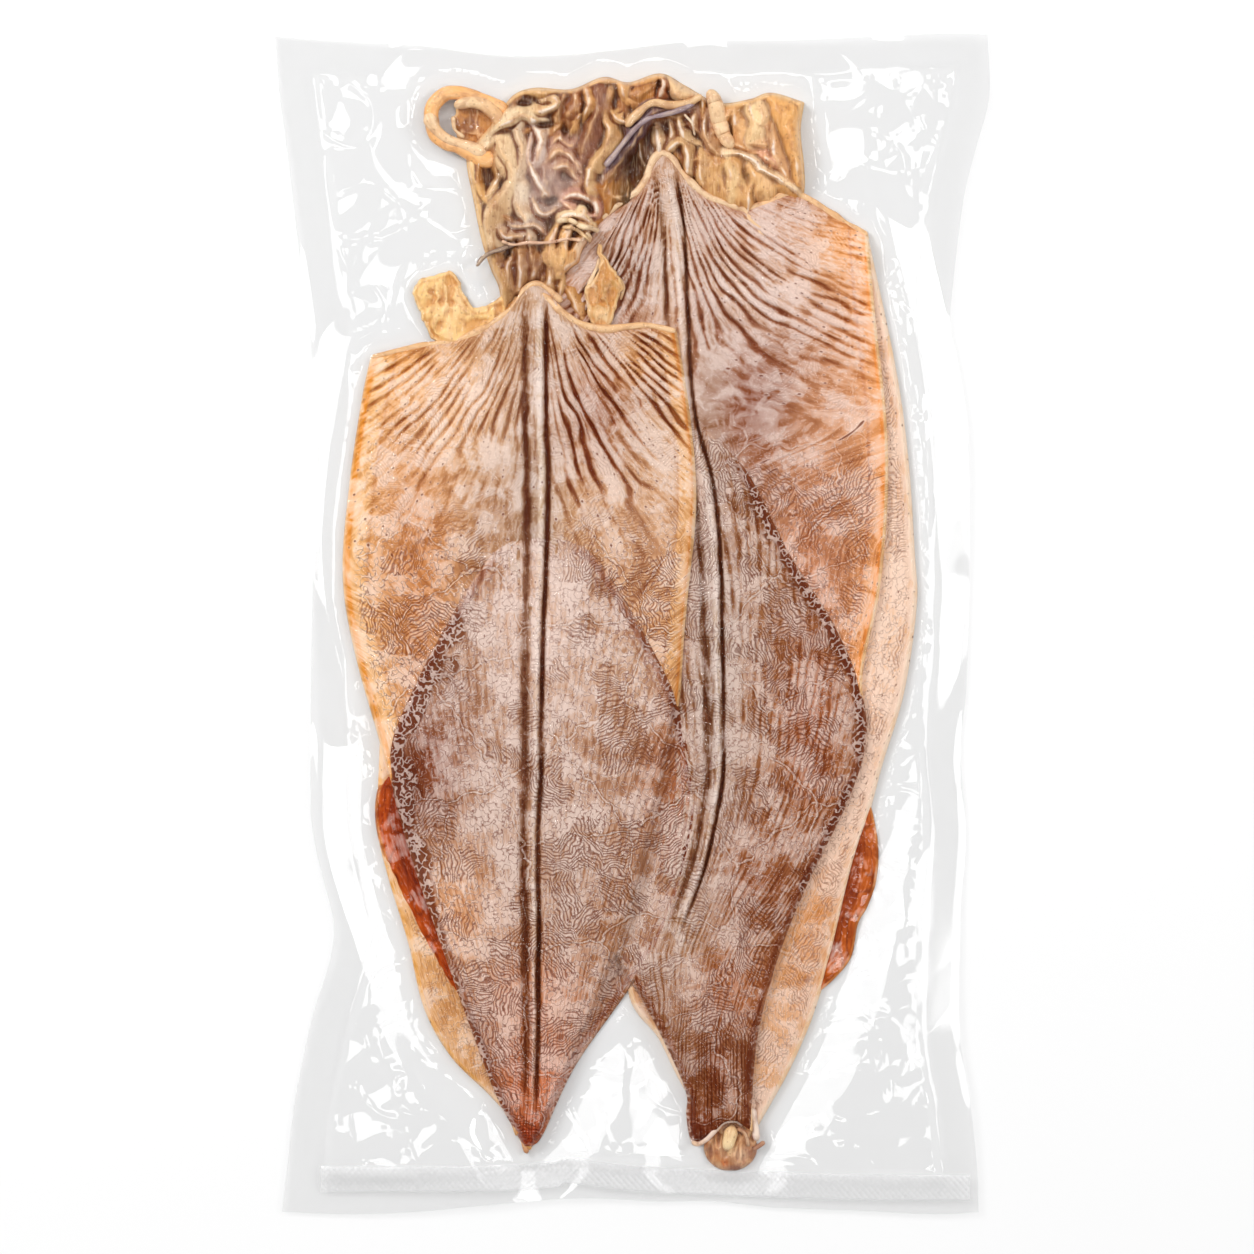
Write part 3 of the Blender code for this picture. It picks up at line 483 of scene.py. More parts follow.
def depth_inside(x, y, loop):
    """Distance to a closed loop, positive inside it and negative outside."""
    closed = np.concatenate([loop, loop[:1]])
    inside = np.zeros(np.shape(x), dtype=bool)
    for (ax, ay), (bx, by) in zip(closed[:-1], closed[1:]):
        crosses = (ay > y) != (by > y)
        rise = by - ay if by != ay else 1e-9
        inside ^= crosses & (x < ax + (y - ay) * (bx - ax) / rise)
    return np.where(inside, 1.0, -1.0) * nearest(x, y, closed)


def lattice(x, y, seed):
    """Random values at the four lattice points round each place, and how far it is past the first."""
    table = np.random.default_rng(seed).uniform(-1.0, 1.0, (NOISE_CELLS, NOISE_CELLS))
    column, row = np.floor(x).astype(int), np.floor(y).astype(int)
    corners = [table[(row + j) % NOISE_CELLS, (column + i) % NOISE_CELLS]
               for j in (0, 1) for i in (0, 1)]
    return corners, x - column, y - row


def noise(x, y, seed):
    """Smooth random values from -1 to 1, one unit between lattice points."""
    (a, b, c, d), fx, fy = lattice(x, y, seed)
    fx, fy = fx * fx * (3 - 2 * fx), fy * fy * (3 - 2 * fy)
    low = a * (1 - fx) + b * fx
    high = c * (1 - fx) + d * fx
    return low * (1 - fy) + high * fy


def cloud(x, y, seed, octaves=4):
    """Noise added at ever half the size and half the height."""
    total = np.zeros(np.shape(x))
    for level in range(octaves):
        finer = 2 ** level
        total += noise(x * finer + 17.3 * level, y * finer - 9.1 * level, seed + level) / finer
    return total / 1.6


def facets(x, y, seed):
    """Random heights on a triangular lattice joined by flat triangles, as creased film is."""
    (a, b, c, d), fx, fy = lattice(x, y, seed)
    lower = a * (1 - fx) + b * (fx - fy) + d * fy
    upper = a * (1 - fy) + d * fx + c * (fy - fx)
    return np.where(fx > fy, lower, upper)


def add(tree, kind, inputs=None, out=0, **settings):
    """Adds a node with its settings and links; gives one of its outputs, or the node if out is None."""
    made = tree.nodes.new(kind)
    for name, value in settings.items():
        setattr(made, name, value)
    for name, value in (inputs or {}).items():
        if isinstance(value, bpy.types.NodeSocket):
            tree.links.new(value, made.inputs[name])
        else:
            made.inputs[name].default_value = value
    return made if out is None else made.outputs[out]


def listed(*grids):
    """Grids as one list of points, with a value from each grid."""
    return np.stack([grid.ravel() for grid in grids], axis=1)


def grid_faces(rows, columns):
    """Quads of a grid whose rows run down and whose columns run right, facing up."""
    index = np.arange(rows * columns).reshape(rows, columns)
    quads = np.stack([index[:-1, :-1], index[1:, :-1], index[1:, 1:], index[:-1, 1:]], axis=-1)
    return quads.reshape(-1, 4)


def make_piece(name, points, faces, material, tone=None, fibre=None, masks=None):
    """A smooth mesh object in metres from points in millimetres, riding on the pouch.

    faces is a list of arrays, each with one size of face. tone is a linear colour for each point, fibre
    its place along and across the grain, and masks further values for each point by name.
    """
    sizes = [(len(block), block.shape[1], block.ravel()) for block in faces]
    corners = np.concatenate([flat for _, _, flat in sizes])
    totals = np.concatenate([np.full(count, size) for count, size, _ in sizes])
    starts = np.concatenate([[0], np.cumsum(totals)[:-1]])
    mesh = bpy.data.meshes.new(name)
    mesh.vertices.add(len(points))
    mesh.vertices.foreach_set("co", (points * MM).astype(np.float32).ravel())
    mesh.loops.add(len(corners))
    mesh.loops.foreach_set("vertex_index", corners.astype(np.int32))
    mesh.polygons.add(len(totals))
    mesh.polygons.foreach_set("loop_start", starts.astype(np.int32))
    mesh.polygons.foreach_set("use_smooth", np.ones(len(totals), dtype=bool))
    if fibre is not None:
        layer = mesh.uv_layers.new(name="fibre")
        layer.data.foreach_set("uv", (fibre[corners] * FIBRE_SCALE).astype(np.float32).ravel())
    if tone is not None:
        colours = np.concatenate([tone, np.ones((len(tone), 1))], axis=1)
        layer = mesh.color_attributes.new("tone", "FLOAT_COLOR", "POINT")
        layer.data.foreach_set("color", colours.astype(np.float32).ravel())
    for mask, values in (masks or {}).items():
        layer = mesh.attributes.new(mask, "FLOAT", "POINT")
        layer.data.foreach_set("value", values.astype(np.float32).ravel())
    mesh.update(calc_edges=True)
    mesh.validate()
    mesh.materials.append(material)
    piece = bpy.data.objects.new(name, mesh)
    bpy.context.scene.collection.objects.link(piece)
    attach(piece, "root")
    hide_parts("pouch")
    return piece


def patch(top, bottom, left, right, rows, columns):
    """A grid filled between four edges by Coons' rule: the two lofts added, less the corners' blend."""
    u = np.linspace(0.0, 1.0, columns)[None, :, None]
    v = np.linspace(0.0, 1.0, rows)[:, None, None]
    upper, lower = curve(top, columns)[None], curve(bottom, columns)[None]
    near, far = curve(left, rows)[:, None], curve(right, rows)[:, None]
    corners = ((1 - v) * ((1 - u) * upper[:, :1] + u * upper[:, -1:])
               + v * ((1 - u) * lower[:, :1] + u * lower[:, -1:]))
    grid = (1 - v) * upper + v * lower + (1 - u) * near + u * far - corners
    return grid[..., 0], grid[..., 1]


def shell_points(x, y, z, low, bulge=0.25):
    """A grid's upper face closed by a bulging edge and one flat face under it.

    Returns the points, the faces and, for each point, the grid point that it takes its colour from.
    """
    rows, columns = x.shape
    index = np.arange(rows * columns).reshape(rows, columns)
    ring = np.concatenate([index[:-1, 0], index[-1, :-1], index[:0:-1, -1], index[0, :0:-1]])
    flat = listed(x, y, z)
    edge = flat[ring]
    ahead = np.roll(edge, -1, axis=0) - np.roll(edge, 1, axis=0)
    length = np.maximum(np.hypot(ahead[:, 0], ahead[:, 1]), 1e-6)
    outward = np.stack([ahead[:, 1] / length, -ahead[:, 0] / length, np.zeros(len(ring))], axis=1)
    middle = edge + outward * bulge
    middle[:, 2] = 0.5 * (edge[:, 2] + low)
    foot = edge.copy()
    foot[:, 2] = low
    points = np.concatenate([flat, middle, foot])
    count = len(ring)
    here = np.arange(count)
    after = (here + 1) % count
    first, second = rows * columns, rows * columns + count
    upper_wall = np.stack([ring, first + here, first + after, ring[after]], axis=1)
    lower_wall = np.stack([first + here, second + here, second + after, first + after], axis=1)
    under = (second + here[::-1])[None]
    source = np.concatenate([np.arange(rows * columns), ring, ring])
    return points, [grid_faces(rows, columns), upper_wall, lower_wall, under], source


def tube_points(path, radius, flatten, sides):
    """A closed tube carried along a path: its section is an ellipse, flatten times as high as wide."""
    count = len(path)
    ahead = np.gradient(path, axis=0)
    ahead /= np.maximum(np.linalg.norm(ahead, axis=1), 1e-9)[:, None]
    across = np.stack([ahead[:, 1], -ahead[:, 0], np.zeros(count)], axis=1)
    across /= np.maximum(np.linalg.norm(across, axis=1), 1e-9)[:, None]
    upward = np.cross(across, ahead)
    angle = np.linspace(0.0, 2 * math.pi, sides, endpoint=False)
    wide, high = np.cos(angle)[None, :, None], np.sin(angle)[None, :, None]
    reach = radius[:, None, None]
    rings = path[:, None] + reach * (wide * across[:, None] + flatten * high * upward[:, None])
    points = np.concatenate([rings.reshape(-1, 3), path[:1], path[-1:]])
    index = np.arange(count * sides).reshape(count, sides)
    turned = np.roll(index, -1, axis=1)
    quads = np.stack([index[:-1], turned[:-1], turned[1:], index[1:]], axis=-1).reshape(-1, 4)
    start, end = count * sides, count * sides + 1
    cap_start = np.stack([np.full(sides, start), turned[0], index[0]], axis=1)
    cap_end = np.stack([np.full(sides, end), index[-1], turned[-1]], axis=1)
    return points, quads, np.concatenate([cap_start, cap_end])


def loop_of(top, left, right):
    """One closed loop from a top edge and two sides that meet at the tail."""
    return np.concatenate([curve(left, 160), curve(right, 160)[::-1], curve(top, 60)[::-1][1:-1]])


def frame_of(top, bottom, left, right, sides=40):
    """One closed loop from four edges, its two sides read at more points where they are long."""
    return np.concatenate([curve(left, sides), curve(bottom, 40)[1:], curve(right, sides)[::-1][1:],
                           curve(top, 40)[::-1][1:-1]])


# Outlines of the layers, for distances
LOOPS = {
    "front": loop_of(FRONT_TOP, FRONT_LEFT, FRONT_RIGHT),
    "right": loop_of(RIGHT_TOP, RIGHT_LEFT, RIGHT_RIGHT),
    "front_fins": loop_of([FRONT_FIN_LEFT[0], FRONT_FIN_RIGHT[0]], FRONT_FIN_LEFT, FRONT_FIN_RIGHT),
    "right_fins": loop_of([RIGHT_FIN_LEFT[0], RIGHT_FIN_RIGHT[0]], RIGHT_FIN_LEFT, RIGHT_FIN_RIGHT),
    "back_left": loop_of([BACK_LEFT_LEFT[0], BACK_LEFT_RIGHT[0]], BACK_LEFT_LEFT, BACK_LEFT_RIGHT),
    "back_right": loop_of([BACK_RIGHT_LEFT[0], BACK_RIGHT_RIGHT[0]], BACK_RIGHT_LEFT, BACK_RIGHT_RIGHT),
    "heads": np.concatenate([curve(HEADS_LEFT, 60), curve(HEADS_BOTTOM, 80), curve(HEADS_RIGHT, 40)[::-1],
                             curve(HEADS_TOP, 120)[::-1][1:-1]]),
}
FRONT_AXIS = curve(FRONT_RIDGE, 200)
RIGHT_AXIS = curve(RIGHT_RIDGE, 200)


def margin_level(x, y):
    """Height of the slack film of the seal margin, in long shallow waves, as in the solid."""
    waves = np.sin(x / 19 + y / 47 + 0.5) + 0.8 * np.sin(y / 23 - x / 61 + 1.9)
    return MARGIN_LIFT + MARGIN_WAVE * 0.5 * waves


def sample(raster, x, y):
    """Reads a raster between its cells."""
    column = np.clip((x - RASTER_START[0]) / CELL, 0, RASTER_SHAPE[1] - 1.001)
    row = np.clip((y - RASTER_START[1]) / CELL, 0, RASTER_SHAPE[0] - 1.001)
    i, j = column.astype(int), row.astype(int)
    fx, fy = column - i, row - j
    low = raster[j, i] * (1 - fx) + raster[j, i + 1] * fx
    high = raster[j + 1, i] * (1 - fx) + raster[j + 1, i + 1] * fx
    return low * (1 - fy) + high * fy


def depth_rasters():
    """Depth inside each layer's outline, read on every second cell and filled in between."""
    x = RASTER_START[0] + CELL * np.arange(0, RASTER_SHAPE[1] + 1, 2)
    y = RASTER_START[1] + CELL * np.arange(0, RASTER_SHAPE[0] + 1, 2)
    grid_x, grid_y = np.meshgrid(x, y)
    made = {}
    for name in ("front", "right", "back_left", "back_right", "right_fins"):
        coarse = depth_inside(grid_x, grid_y, LOOPS[name])
        fine = np.zeros((2 * coarse.shape[0] - 1, 2 * coarse.shape[1] - 1))
        fine[::2, ::2] = coarse
        fine[1::2, ::2] = 0.5 * (coarse[1:] + coarse[:-1])
        fine[:, 1::2] = 0.5 * (fine[:, :-1:2] + fine[:, 2::2])
        made[name] = fine[:RASTER_SHAPE[0], :RASTER_SHAPE[1]]
    return made


DEPTHS = depth_rasters()


def under_level(x, y, squid):
    """What a squid lies on: each layer below adds its thickness inside its outline.

    Where a mantle covers an outline, its step is spread over a wide shoulder, and near each mantle's peak
    the neck under it lifts it.
    """
    depth = {name: sample(DEPTHS[name], x, y) for name in DEPTHS}
    hidden = ease(depth["front"] / HIDDEN_DEPTH)
    hidden_back = np.maximum(hidden, ease(depth["right"] / HIDDEN_DEPTH))

    def layer(name, thick, under):
        """A layer's thickness inside its outline, its step widened from open to hidden by under."""
        width = OPEN_SHOULDER + (HIDDEN_SHOULDER - OPEN_SHOULDER) * under
        return thick * ease(depth[name] / width + 0.5)

    level = np.maximum(layer("back_left", BACK_THICK, hidden_back),
                       layer("back_right", BACK_THICK, hidden_back))
    if squid == "front":
        level = level + layer("right", MANTLE_THICK, hidden)
        level = level + FIN_THICK * ease(depth["right_fins"] / HIDDEN_SHOULDER + 0.5) * hidden
    axis = FRONT_AXIS if squid == "front" else RIGHT_AXIS
    near = np.exp(-(np.hypot(x - axis[0, 0], y - axis[0, 1] + 3.0) / NECK_REACH) ** 2)
    return UNDERSIDE + level + NECK_RISE * near


def level_on(squid, rise):
    """The level that stands above what a squid lies on by rise."""
    return lambda x, y: under_level(x, y, squid) + rise


def flat_level(rise):
    """One level for every place, above the underside of the contents by rise."""
    return lambda x, y: np.full(np.shape(x), UNDERSIDE + rise)


def paint(x, y, base, tints):
    """A base colour with soft elliptical tints: each is its centre, half widths, colour and strength."""
    tone = np.broadcast_to(base, np.shape(x) + (3,)).copy()
    for cx, cy, rx, ry, colour, strength in tints:
        ragged = 1.0 + 0.35 * cloud(x / 9 + cx, y / 9 + cy, 91, 3)
        share = strength * np.exp(-(((x - cx) / rx) ** 2 + ((y - cy) / ry) ** 2) * ragged)
        tone = mix(tone, linear(colour), share)
    return tone


def bands(tone, distance, stripes):
    """Stripes of colour along an edge: each is its start and end in mm, its colour and its strength."""
    for start, end, colour, strength in stripes:
        share = ease((distance - start) / 0.5 + 0.5) * ease((end - distance) / 0.5 + 0.5)
        tone = mix(tone, linear(colour), strength * share)
    return tone


def grain_of(x, y, axis, half, fan_low, fan_high, bend=FAN_BEND):
    """Where a point lies across and along the grain of a mantle, in mm.

    Near the peak the grain fans out and bends away from the ridge, so across is the angle about a point
    above the peak less bend for each mm of distance, the more so the nearer to a side. Towards the tail it
    runs with the body, so across is the distance from the centre line, widened as the body tapers. fan
    goes from 0 to 1 between the two heights fan_low and fan_high.
    """
    centre = np.interp(y, axis[::-1, 1], axis[::-1, 0])
    peak_x, peak_y = axis[0]
    down = peak_y + FAN_ABOVE - y
    angle = np.arctan2(x - peak_x, np.maximum(down, 0.5))
    reach = np.hypot(x - peak_x, down)
    fan = ease((y - fan_low) / (fan_high - fan_low))
    taper = half / np.clip((y + TAPER_END) * TAPER_RATE, TAPER_LEAST, half)
    side = np.tanh((x - centre) / FAN_SIDE)
    across = fan * (angle - bend * side * reach) * FAN_RADIUS + (1.0 - fan) * (x - centre) * taper
    along = fan * reach + (1.0 - fan) * down
    return across, along, centre


def wrinkles(across, along, seed):
    """Folds that run with the grain: broad round crests near 1 with narrow valleys that fall to 0.

    They are the cosine of across, 3 mm apart and swayed by noise, with finer folds between them.
    """
    wander = 3.0 * cloud(across / 12, along / 26, seed + 9, 2)
    wander = wander + 0.9 * noise(across / 4, along / 7, seed + 3)
    coarse = np.clip(1.0 + np.cos((across + wander) * FOLD_TURN), 0.0, 1.0)
    strength = np.clip(0.72 + 1.1 * noise(across / 5, along / 12, seed + 4), 0.0, 1.0)
    fine = np.clip(np.abs(noise(across + wander, along / 12, seed + 1)) / 0.3, 0.0, 1.0)
    return 0.7 * (1.0 - strength * (1.0 - coarse)) + 0.3 * fine


def back_ridge(x, y, axis, centre, wide=1.2, left=0.7):
    """The ridge down a squid's back: its height, the painted shade of its two grooves, and its pale line,
    a painted highlight.

    The ridge narrows towards the tail. Its left groove is wide and soft and its right one thin and dark;
    wide is the left one's half width in mm, and left says how strong it is.
    """
    width = np.interp(y, [-140, -30, 40, 90], [1.5, 2.3, 3.0, 3.0])
    away = x - centre - 0.35 * noise(y / 14, y * 0 + 3.1, 5)
    fade = ease((axis[0, 1] - 2.0 - y) / 10.0) * ease((y - axis[-1, 1]) / 20.0)
    patchy = (0.8 + 0.25 * noise(y / 15, np.sign(away) * 4.0 + 0.5, 8)) * np.where(away < 0, left, 1.05)
    reach = wide * np.where(away < 0, 1.0, 0.6) * (1.0 + 0.3 * noise(y / 7, np.sign(away) * 3.0 + 1.5, 9))
    groove = np.minimum(1.25 * np.exp(-np.abs((np.abs(away) - width) / reach) ** 2.5) * patchy, 1.0) * fade
    line = np.exp(-((away - 0.35 * width) / (0.3 * width)) ** 4) * fade
    line *= 0.8 + 0.2 * noise(y / 3, y * 0 + 9.5, 10)
    crest = 0.7 * np.exp(-(away / (width * 0.7)) ** 4) * fade
    return crest + 0.35 * line - 0.8 * groove, groove, line


def rounded(depth, reach=EDGE_ROUND):
    """A quarter round that rises from an edge to full height over its reach."""
    inward = np.clip(depth / reach, 0.0, 1.0)
    return np.sqrt(1.0 - (1.0 - inward) ** 2)


def skin_sheet(name, grid, tone, shades, fibre, low):
    """A closed sheet of skin from its grid of x, y and z, with its colours, light and dark, and grain.

    shades are the masks that the skin reads, and fibre the two grids across and along its grain.
    """
    points, faces, source = shell_points(*grid, low)
    lit = tone.reshape(-1, 3)[source]
    under = np.arange(len(source)) >= grid[0].size
    lit[under] = mix(lit[under], PALE_AMBER, 0.5)
    masks = {mask: values.ravel()[source] for mask, values in shades.items()}
    return make_piece(name, points, faces, SKIN, lit, listed(*fibre)[source], masks)


def flesh_sheet(name, grid, tone, bloom_and_shading, low, bulge=0.25):
    """A closed sheet of flesh from its grid of x, y and z, with its colours and its pale mauve powder,
    carried as bloom_and_shading.
    """
    points, faces, source = shell_points(*grid, low, bulge)
    return make_piece(name, points, faces, FLESH, tone.reshape(-1, 3)[source],
                      listed(*grid[:2])[source], {"bloom_and_shading": bloom_and_shading.ravel()[source]})


def front_mantle():
    """The front squid's mantle: fan wrinkles from its peak, strongest on the right, and amber edges.

    Its height is the level under it, its thickness with a quarter round at the edge, the folds times their
    depth there, the ridge and fine noise. Its tone is tints, then painted shade in the fold valleys, edge
    stripes, and the ridge's painted shade in its grooves and painted highlight on its pale line. Its
    bloom_and_shading is random pale patches with painted light on the folds and painted shade in the
    grooves.
    """
    x, y = patch(FRONT_TOP, [FRONT_LEFT[-1], FRONT_RIGHT[-1]], FRONT_LEFT, FRONT_RIGHT, *FRONT_GRID)
    across, along, centre = grain_of(x, y, FRONT_AXIS, 46.0, -20.0, 25.0)
    depth = depth_inside(x, y, LOOPS["front"])
    to_left = nearest(x, y, curve(FRONT_LEFT, 90))
    to_right = nearest(x, y, curve(FRONT_RIGHT, 90))
    folds = wrinkles(across, along, 21)
    right_side = ease((x - centre - 3.0) / 8.0)
    deep = ease((y - 26.0) / 30.0) * (right_side * 0.95 + (1.0 - right_side) * 0.42) + 0.1
    at_ridge = np.exp(-((x - centre) / 4.5) ** 2)
    deep *= ease(depth / 4.0) * ease((along - 8.0) / 10.0) * (1.0 - 0.6 * at_ridge)
    ridge, dark, line = back_ridge(x, y, FRONT_AXIS, centre)
    z = under_level(x, y, "front") + MANTLE_THICK * (0.3 + 0.7 * rounded(depth))
    z += 1.2 * deep * (folds - 0.8) + ridge + 0.1 * cloud(x / 3, y / 3, 31)
    tone = paint(x, y, linear("#cda585"), FRONT_TINTS)
    valley = ease((0.74 - folds) / 0.4) * np.clip(deep * 1.8, 0.0, 1.0)
    # Painted shade in the fold valleys, stronger on the right
    tone = mix(tone, linear("#8c4016"), (0.3 + 0.48 * right_side) * valley)
    tone = mix(tone, linear("#f2bb7c"), 0.75 * np.exp(-(to_left / 9.0) ** 2))
    tone = bands(tone, to_left, [(2.2, 6.0, "#f2c896", 0.5), (6.5, 7.3, "#b9742f", 0.5),
                                 (-1.0, 1.8, "#e89c36", 0.95), (-1.0, 0.4, "#f6d4a4", 0.7)])
    tone = bands(tone, to_right, [(1.4, 5.0, "#e6b886", 0.8), (4.8, 5.5, "#b5763c", 0.6),
                                  (-1.0, 1.6, "#dc9444", 0.9), (-1.0, 0.6, "#f5dcb4", 0.9)])
    # Painted shade in the ridge's grooves and a painted highlight on its pale line
    tone = mix(tone, linear("#6a3210"), dark)
    tone = mix(tone, linear("#e9dbd0"), 0.65 * line)
    bloom_and_shading = 0.15 * cloud(x / 12, y / 16, 41) + 0.05 * np.exp(-((x - centre) / 14.0) ** 2)
    # Painted light on the fold crests and painted shade in the grooves, with a painted highlight on the
    # ridge line
    bloom_and_shading += 1.1 * (folds - 0.7) * np.clip(deep * 1.5, 0.0, 1.0) - 0.78 * dark + 0.12 * line
    hatch = 0.3 + 0.7 * ease((38.0 - y) / 25.0) * (1.0 - np.exp(-((x - centre) / 9.0) ** 2))
    hatch *= ease((to_left - 2.0) / 3.0) * ease((to_right - 1.5) / 3.0)
    return skin_sheet("front_mantle", (x, y, z), tone, {"bloom_and_shading": bloom_and_shading, "hatch": hatch}, (across, along),
                      UNDERSIDE + 0.15)


def front_fins():
    """The front squid's fins: one lens over the lower back, its margins dark and raised.

    Its height is the level under it, the mantle's body, the fin's own thickness where it shows, the ridge
    and shallow folds. margin is a ragged band along its edge.
    """
    low_edge = [FRONT_FIN_LEFT[-1], FRONT_FIN_RIGHT[-1]]
    top = [FRONT_FIN_LEFT[0], FRONT_FIN_RIGHT[0]]
    x, y = patch(top, low_edge, FRONT_FIN_LEFT, FRONT_FIN_RIGHT, *FRONT_FIN_GRID)
    across, along, centre = grain_of(x, y, FRONT_AXIS, 40.0, 60.0, 90.0)
    depth = depth_inside(x, y, LOOPS["front_fins"])
    inside = sample(DEPTHS["front"], x, y)
    ridge, dark, line = back_ridge(x, y, FRONT_AXIS, centre)
    folds = wrinkles(across, along, 51)
    shown = ease((np.abs(x - centre) - 6.0) / 8.0 + (16.0 - y) / 20.0)
    stand = 0.06 + (FIN_THICK - 0.06) * shown
    body = MANTLE_THICK * ease(inside / 5.0 + 0.45)
    z = under_level(x, y, "front") + body + stand * (0.25 + 0.75 * rounded(depth, 1.6))
    z += ridge + 0.32 * (folds - 0.8) * ease(depth / 4.0) + 0.1 * cloud(x / 3, y / 3, 61)
    tone = paint(x, y, linear("#b08a76"), FRONT_FIN_TINTS)
    tone = bands(tone, depth, [(0.7, 2.4, "#8a452a", 0.6 * shown), (-1.0, 0.7, "#c08a68", 0.5 * shown),
                               (3.4, 4.0, "#8f5236", 0.5 * shown)])
    # Painted shade in the ridge's grooves and a painted highlight on its pale line
    tone = mix(tone, linear("#5e3014"), 0.95 * dark)
    tone = mix(tone, linear("#e2d2c6"), 0.5 * line)
    bloom_and_shading = 0.03 + 0.25 * np.exp(-((x - centre) / 18.0) ** 2) + 0.15 * cloud(x / 10, y / 14, 71)
    # Painted light on the fold crests and painted shade in the grooves; the tail is darker
    bloom_and_shading += 0.3 * (folds - 0.72) - 0.9 * dark - 0.3 * ease((-118.0 - y) / 18.0)
    bloom_and_shading -= 0.24 * ease((-134.0 - y) / 10.0)
    hatch = 1.0 - 0.4 * np.exp(-((x - centre) / 14.0) ** 2) * ease((y + 60.0) / 60.0)
    wide = np.where(x < centre, 6.0, 2.8) * ease((10.0 - y) / 20.0)
    wide = wide * (1.0 - 0.75 * ease((-50.0 - y) / 40.0))
    margin = shown * ease((wide * (1.0 + 1.1 * cloud(x / 6, y / 8, 75)) - depth) / 1.2)
    margin *= 1.0 - 0.75 * ease((-136.0 - y) / 8.0)
    shades = {"bloom_and_shading": bloom_and_shading, "hatch": hatch, "margin": margin}
    return skin_sheet("front_fins", (x, y, z), tone, shades, (across, along), UNDERSIDE + 0.2)


def right_mantle():
    """The right squid's mantle, made as the front one, its left part under that one.

    It is wrinkled on both sides of its peak.
    """
    x, y = patch(RIGHT_TOP, RIGHT_TAIL, RIGHT_LEFT, RIGHT_RIGHT, *RIGHT_GRID)
    across, along, centre = grain_of(x, y, RIGHT_AXIS, 50.0, 20.0, 60.0, RIGHT_FAN_BEND)
    depth = depth_inside(x, y, LOOPS["right"])
    to_right = nearest(x, y, curve(RIGHT_RIGHT, 90))
    folds = wrinkles(1.25 * across, along, 23)
    deep = (ease((y - 62.0) / 26.0) * 0.75 + 0.1) * ease(depth / 4.0) * ease((along - 8.0) / 10.0)
    deep *= 1.0 - 0.6 * np.exp(-((x - centre) / 4.0) ** 2)
    ridge, dark, line = back_ridge(x, y, RIGHT_AXIS, centre, 0.9, 0.6)
    z = under_level(x, y, "right") + MANTLE_THICK * (0.3 + 0.7 * rounded(depth))
    z += 1.2 * deep * (folds - 0.8) + ridge + 0.1 * cloud(x / 3, y / 3, 33)
    tone = paint(x, y, linear("#bd9079"), RIGHT_TINTS)
    valley = ease((0.74 - folds) / 0.4) * np.clip(deep * 1.8, 0.0, 1.0)
    # Painted shade in the fold valleys, weaker towards the right edge
    tone = mix(tone, linear("#8a4426"), (0.6 - 0.35 * ease((x - 38.0) / 20.0)) * valley)
    tone = mix(tone, linear("#f5b074"), 0.75 * np.exp(-(to_right / 8.0) ** 2))
    tone = bands(tone, to_right, [(5.0, 5.7, "#b8683a", 0.5), (0.9, 1.8, "#f09a44", 0.8),
                                  (-1.0, 0.9, "#f8dcb4", 0.9)])
    # Painted shade in the ridge's grooves and a painted highlight on its pale line
    tone = mix(tone, GROOVE_SHADE, 0.85 * dark)
    tone = mix(tone, RIDGE_HIGHLIGHT, 0.5 * line)
    bloom_and_shading = 0.15 * np.exp(-((x - centre) / 14.0) ** 2) + 0.15 * cloud(x / 12, y / 16, 43)
    # Painted light on the fold crests and painted shade in the grooves, with a painted highlight on the
    # ridge line
    bloom_and_shading += 1.1 * (folds - 0.7) * np.clip(deep * 1.5, 0.0, 1.0) - 0.78 * dark + 0.12 * line
    hatch = (0.25 + 0.65 * ease((60.0 - y) / 25.0)) * ease((to_right - 2.0) / 3.0)
    return skin_sheet("right_mantle", (x, y, z), tone, {"bloom_and_shading": bloom_and_shading, "hatch": hatch}, (across, along),
                      UNDERSIDE + 0.1)


